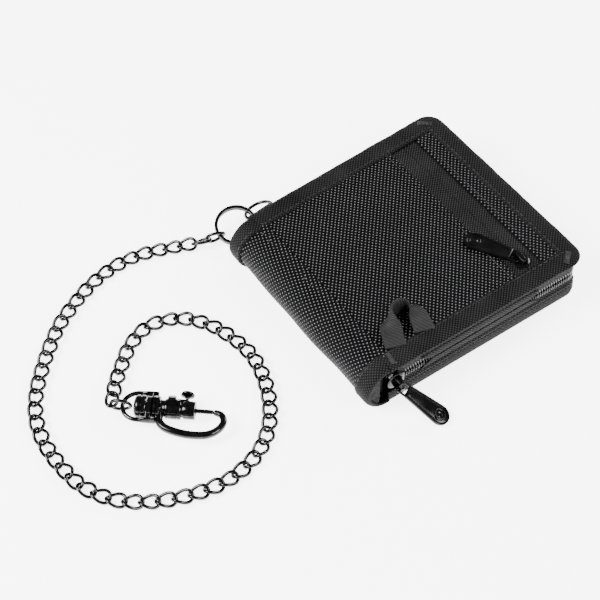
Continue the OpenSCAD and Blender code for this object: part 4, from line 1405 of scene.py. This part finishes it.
def puller(node, joint, yaw, pitch):
    m = rotation(y=pitch, z=yaw)
    m[:3, 3] = joint_point(joint)
    h = PULLER_T / 2
    parts = Parts()
    parts.tube(stack(puller_outline(), [(0.45, -h), (0.12, -h + 0.1), (0.0, -h + 0.35), (0.0, h - 0.35),
                                        (0.1, h - 0.12), (0.4, h), (0.95, h + 0.02), (1.2, h - 0.05),
                                        (1.3, h - 0.3), (1.5, h - 0.36)]), m)
    # Plain raised ring and dimple on the round end
    turn = circle_section(1.0, 40)
    out = np.column_stack([turn, np.zeros(40)])
    middle = (PULLER_L, 0, h - 0.32)
    up = np.broadcast_to((0, 0, 0.85), out.shape)
    parts.loop(carried(middle + 2.3 * out, circle_section(0.34, 10), out, up), m)
    dome = ((1.35, h - 0.42), (1.3, h - 0.3), (1.0, h - 0.16), (0.55, h - 0.08), (0.1, h - 0.06))
    parts.tube(layers([(turn * r + (PULLER_L, 0), z) for r, z in dome]), m)
    # U-shaped eye
    arm = PULLER_W / 2 - 0.55
    half = [(0.0, arm - 1.0), (0.08, arm - 0.5), (0.4, arm - 0.12), (0.95, arm), (2.5, arm), (5.2, arm)]
    line = smooth_path([(x, -y) for x, y in half[::-1]] + [(0.0, 0.0)] + half, 4)
    parts.tube(sweep(np.column_stack([line, np.zeros(len(line))]), circle_section(0.56, 14)), m)
    enamelled(parts, node, node, node, 35)


SLIDER_L = 8.6
SLIDER_W = 8.4


def slider_outline():
    r = SLIDER_W / 2
    a = np.linspace(math.radians(100), math.radians(260), 26)
    wide = np.stack([-SLIDER_L / 2 + r + r * np.cos(a), r * np.sin(a)], axis=1)
    nose = round_rect(3.0, 6.0, 1.0, 5)
    nose = nose[nose[:, 0] > 0.3] + (SLIDER_L / 2 - 1.5, 0)
    return np.concatenate([wide, nose[nose[:, 1] <= 0], nose[nose[:, 1] > 0]])


def slider(node, m, depth, rise, turn, lift):
    """Zip slider. Local Z points out of the zip and X runs along it; the upper plate lies on z = lift."""
    outline = slider_outline()
    parts = Parts()
    parts.tube(stack(outline, [(0.35, lift), (0.05, lift + 0.06), (0.0, lift + 0.2), (0.05, lift + 0.42),
                               (0.35, lift + 0.62), (1.1, lift + 0.72), (2.2, lift + 0.76)]), m)
    parts.tube(stack(inset_ring(outline, 1.1), [(0.4, -depth - 0.66), (0.1, -depth - 0.6), (0.0, -depth - 0.4),
                                                (0.0, -depth - 0.2), (0.15, -depth - 0.02)]), m)
    post = round_rect(2.0, 0.55, 0.26, 4) + (-2.8, 0)
    parts.tube(layers([(post, -depth - 0.3), (post, lift + 0.2)]), m)
    # Arched bridge over the puller's bar
    top, foot = 0.7 + rise + 0.42, 2.85
    half = [(foot + 0.25, 0.35), (foot + 0.1, 0.9), (foot - 0.1, rise * 0.55 + 0.7), (foot - 0.55, top - 0.22),
            (foot - 1.3, top), (0.0, top + 0.12)]
    line = smooth_path([(-x, z) for x, z in half] + half[-2::-1], 6)
    line = np.stack([line[:, 0], np.zeros(len(line)), line[:, 1]], axis=1)
    wide = np.interp(np.abs(line[:, 0]), [0, 2, 3.1], [1.0, 0.95, 1.15])[:, None]
    side = np.broadcast_to((0.0, 1.0, 0.0), line.shape)
    up = np.cross(unit(np.gradient(line, axis=0)), side)
    parts.tube(carried(line, round_rect(2.3, 0.78, 0.3, 4), side * wide, up), m @ rotation(z=turn))
    enamelled(parts, node, node, node, 35)


def sliders():
    plate_at = 0.7           # from a slider's middle to its plates
    at = joint_point("pocket_puller_swing")
    a, b = low("pocket_slider"), high("pocket_slider")
    m = rotation(z=90)
    m[:3, 3] = (at[0], (a[1] + b[1]) / 2, at[2] - 1.0 - plate_at)
    slider("pocket_slider", m, m[2, 3] - plate_at - a[2], 2.0, 0, 0.18)
    puller("pocket_puller", "pocket_puller_swing", 118, 0.4)
    at = joint_point("edge_puller_swing")
    a, b = low("edge_slider"), high("edge_slider")
    rise = 3.6
    m = rotation(x=90)
    m[:3, 3] = (at[0], at[1] + 0.2 + rise / 2 + plate_at, (a[2] + b[2]) / 2)
    slider("edge_slider", m, 2.35, rise, 90, 0.0)
    puller("edge_puller", "edge_puller_swing", -62, 27)


sliders()


# ---------------------------------------------------------------- inside

def soft_rect(node, body, material, slot, hem=0, waves=0.12):
    """A thin sewn sheet in a CAD sheet's place. hem is the height of the folded edge on its open side."""
    (x0, y0, z0), (x1, y1, z1) = low(node), high(node)
    x, y = np.meshgrid(np.linspace(x0, x1, 90), np.linspace(y0, y1, 100), indexing="ij")
    edge = np.minimum(np.minimum(x - x0, x1 - x), np.minimum(y - y0, y1 - y))
    free = np.clip(edge / 6, 0, 1)
    top = z1 + (ripple(x + 0.4 * y, waves, 47) + ripple(y - 0.2 * x, waves, 61) - waves) * free * 0.5
    fold = np.clip((x - (x1 - 5)) / 0.5, 0, 1)
    finish_piece(closed_sheet(node, x, y, top + hem * fold, top - (z1 - z0)), body, material, slot, node)


def soft_panel(node, body, inset, up=True, waves=0.15):
    """A panel-shaped lining with rounded corners, held flat at its rim."""
    a, b = low(node), high(node)
    x, y = panel_grid(a[0], b[0], inset, 1.0)
    edge = np.minimum(np.minimum(x - a[0], b[0] - x), np.minimum(y - a[1], b[1] - y))
    free = np.clip(edge / 8, 0, 1)
    swell = (ripple(x + 0.3 * y, waves, 53) + ripple(y - 0.3 * x, waves, 71) + waves) * free * 0.5
    piece = closed_sheet(node, x, y, b[2] + up * swell, a[2] - (not up) * swell)
    finish_piece(piece, body, LINING, "lining", node)


def seam(name, body, points, up=(0, 0, 1)):
    """A row of small stitches through a few points."""
    points = np.asarray(points, float)
    line = at_length(points, np.linspace(0, run_length(points)[-1], 160))
    return stitches(name, body, line, up_normals(line, up), 1.8, 0.8, 0.15)


def inside():
    soft_panel("rear_lining", "rear_half", 2.0)
    soft_panel("bill_divider", "rear_half", 2.3, waves=0.05)
    soft_panel("front_lining", "front_cover", 2.0, up=False, waves=0.05)
    soft_panel("front_panel", "front_cover", 2.0, waves=0.3)
    for node in ("card_pocket_high", "card_pocket_mid", "card_pocket_low"):
        soft_rect(node, "rear_half", LINING, "lining", hem=0.14, waves=0.04)
        a, b = low(node), high(node)
        mouth, top = b[0] - 4.2, b[2] + 0.12
        seam(node + "_hem", "rear_half", [(mouth, a[1] + 2, top), (mouth, b[1] - 2, top)])
    for side, y in (("front", a[1] + 1.2), ("back", b[1] - 1.2)):
        seam("card_side_" + side, "rear_half", [(a[0] + 1, y, b[2]), (b[0] - 1, y, b[2])])
    window()


def window():
    """Clear film behind a sewn frame."""
    a, b = low("id_window_frame"), high("id_window_frame")
    width, length, _ = b - a
    middle = (a + b)[:2] / 2
    outer = round_rect(width, length, 2.0, 6)
    hole = round_rect(width - 16, length - 16, 3.0, 6)
    z0, z1 = a[2], b[2]
    levels = [(outer, z1), (outer, z0 + 0.12), (outer * 0.997, z0), (hole * 1.012, z0), (hole, z0 + 0.12),
              (hole, z1)]
    rings = layers([(ring + middle, z) for ring, z in levels])
    parts = Parts()
    parts.add(rings, [f[::-1] for f in ring_faces(*rings.shape[:2])])
    finish_piece(parts.object("id_window_frame", 50), "front_cover", BINDING, "lining", "id_window_frame")
    line = inset_ring(outer, 1.6) + middle
    line = np.column_stack([line, np.full(len(line), z0 - 0.02)])
    seam("window_stitches", "front_cover", [*line, line[0]], (0, 0, -1))
    soft_rect("id_window", "front_cover", FILM, "clear_film", waves=0.1)


inside()
paint(BOARD, "rear_stiffener", "front_stiffener")


# ---------------------------------------------------------------- floor and light

def floor_and_light():
    reach = np.linspace(-2500, 2500, 5)
    x, y = np.meshgrid(reach, reach, indexing="ij")
    points = np.stack([x, y, 0 * x], axis=-1).reshape(-1, 3)
    floor = mesh_object("floor", points, grid_faces(*x.shape), points[:, :2])
    m = Material("floor", (0.95, 0.95, 0.95), 0.8, Emission_Color=(1, 1, 1, 1), Emission_Strength=4.6)
    floor.data.materials.append(m.material)
    scene.world = bpy.data.worlds.new("world")
    scene.world.use_nodes = True
    background = scene.world.node_tree.nodes["Background"]
    background.inputs[0].default_value = (1, 1, 1, 1)
    background.inputs[1].default_value = 0.32
    aim = Vector((-0.06, 0, 0))
    for name, place, size, power in (("key", (-0.75, 0.25, 0.75), 0.5, 30.0),
                                     ("fill", (0.2, -0.9, 0.7), 0.5, 14.0),
                                     ("side", (0.85, 0.1, 0.6), 0.4, 12.0)):
        data = bpy.data.lights.new(name, "AREA")
        data.size = size
        data.energy = power
        light = bpy.data.objects.new(name, data)
        light.location = place
        light.rotation_euler = (aim - Vector(place)).to_track_quat("-Z", "Y").to_euler()
        scene.collection.objects.link(light)


floor_and_light()
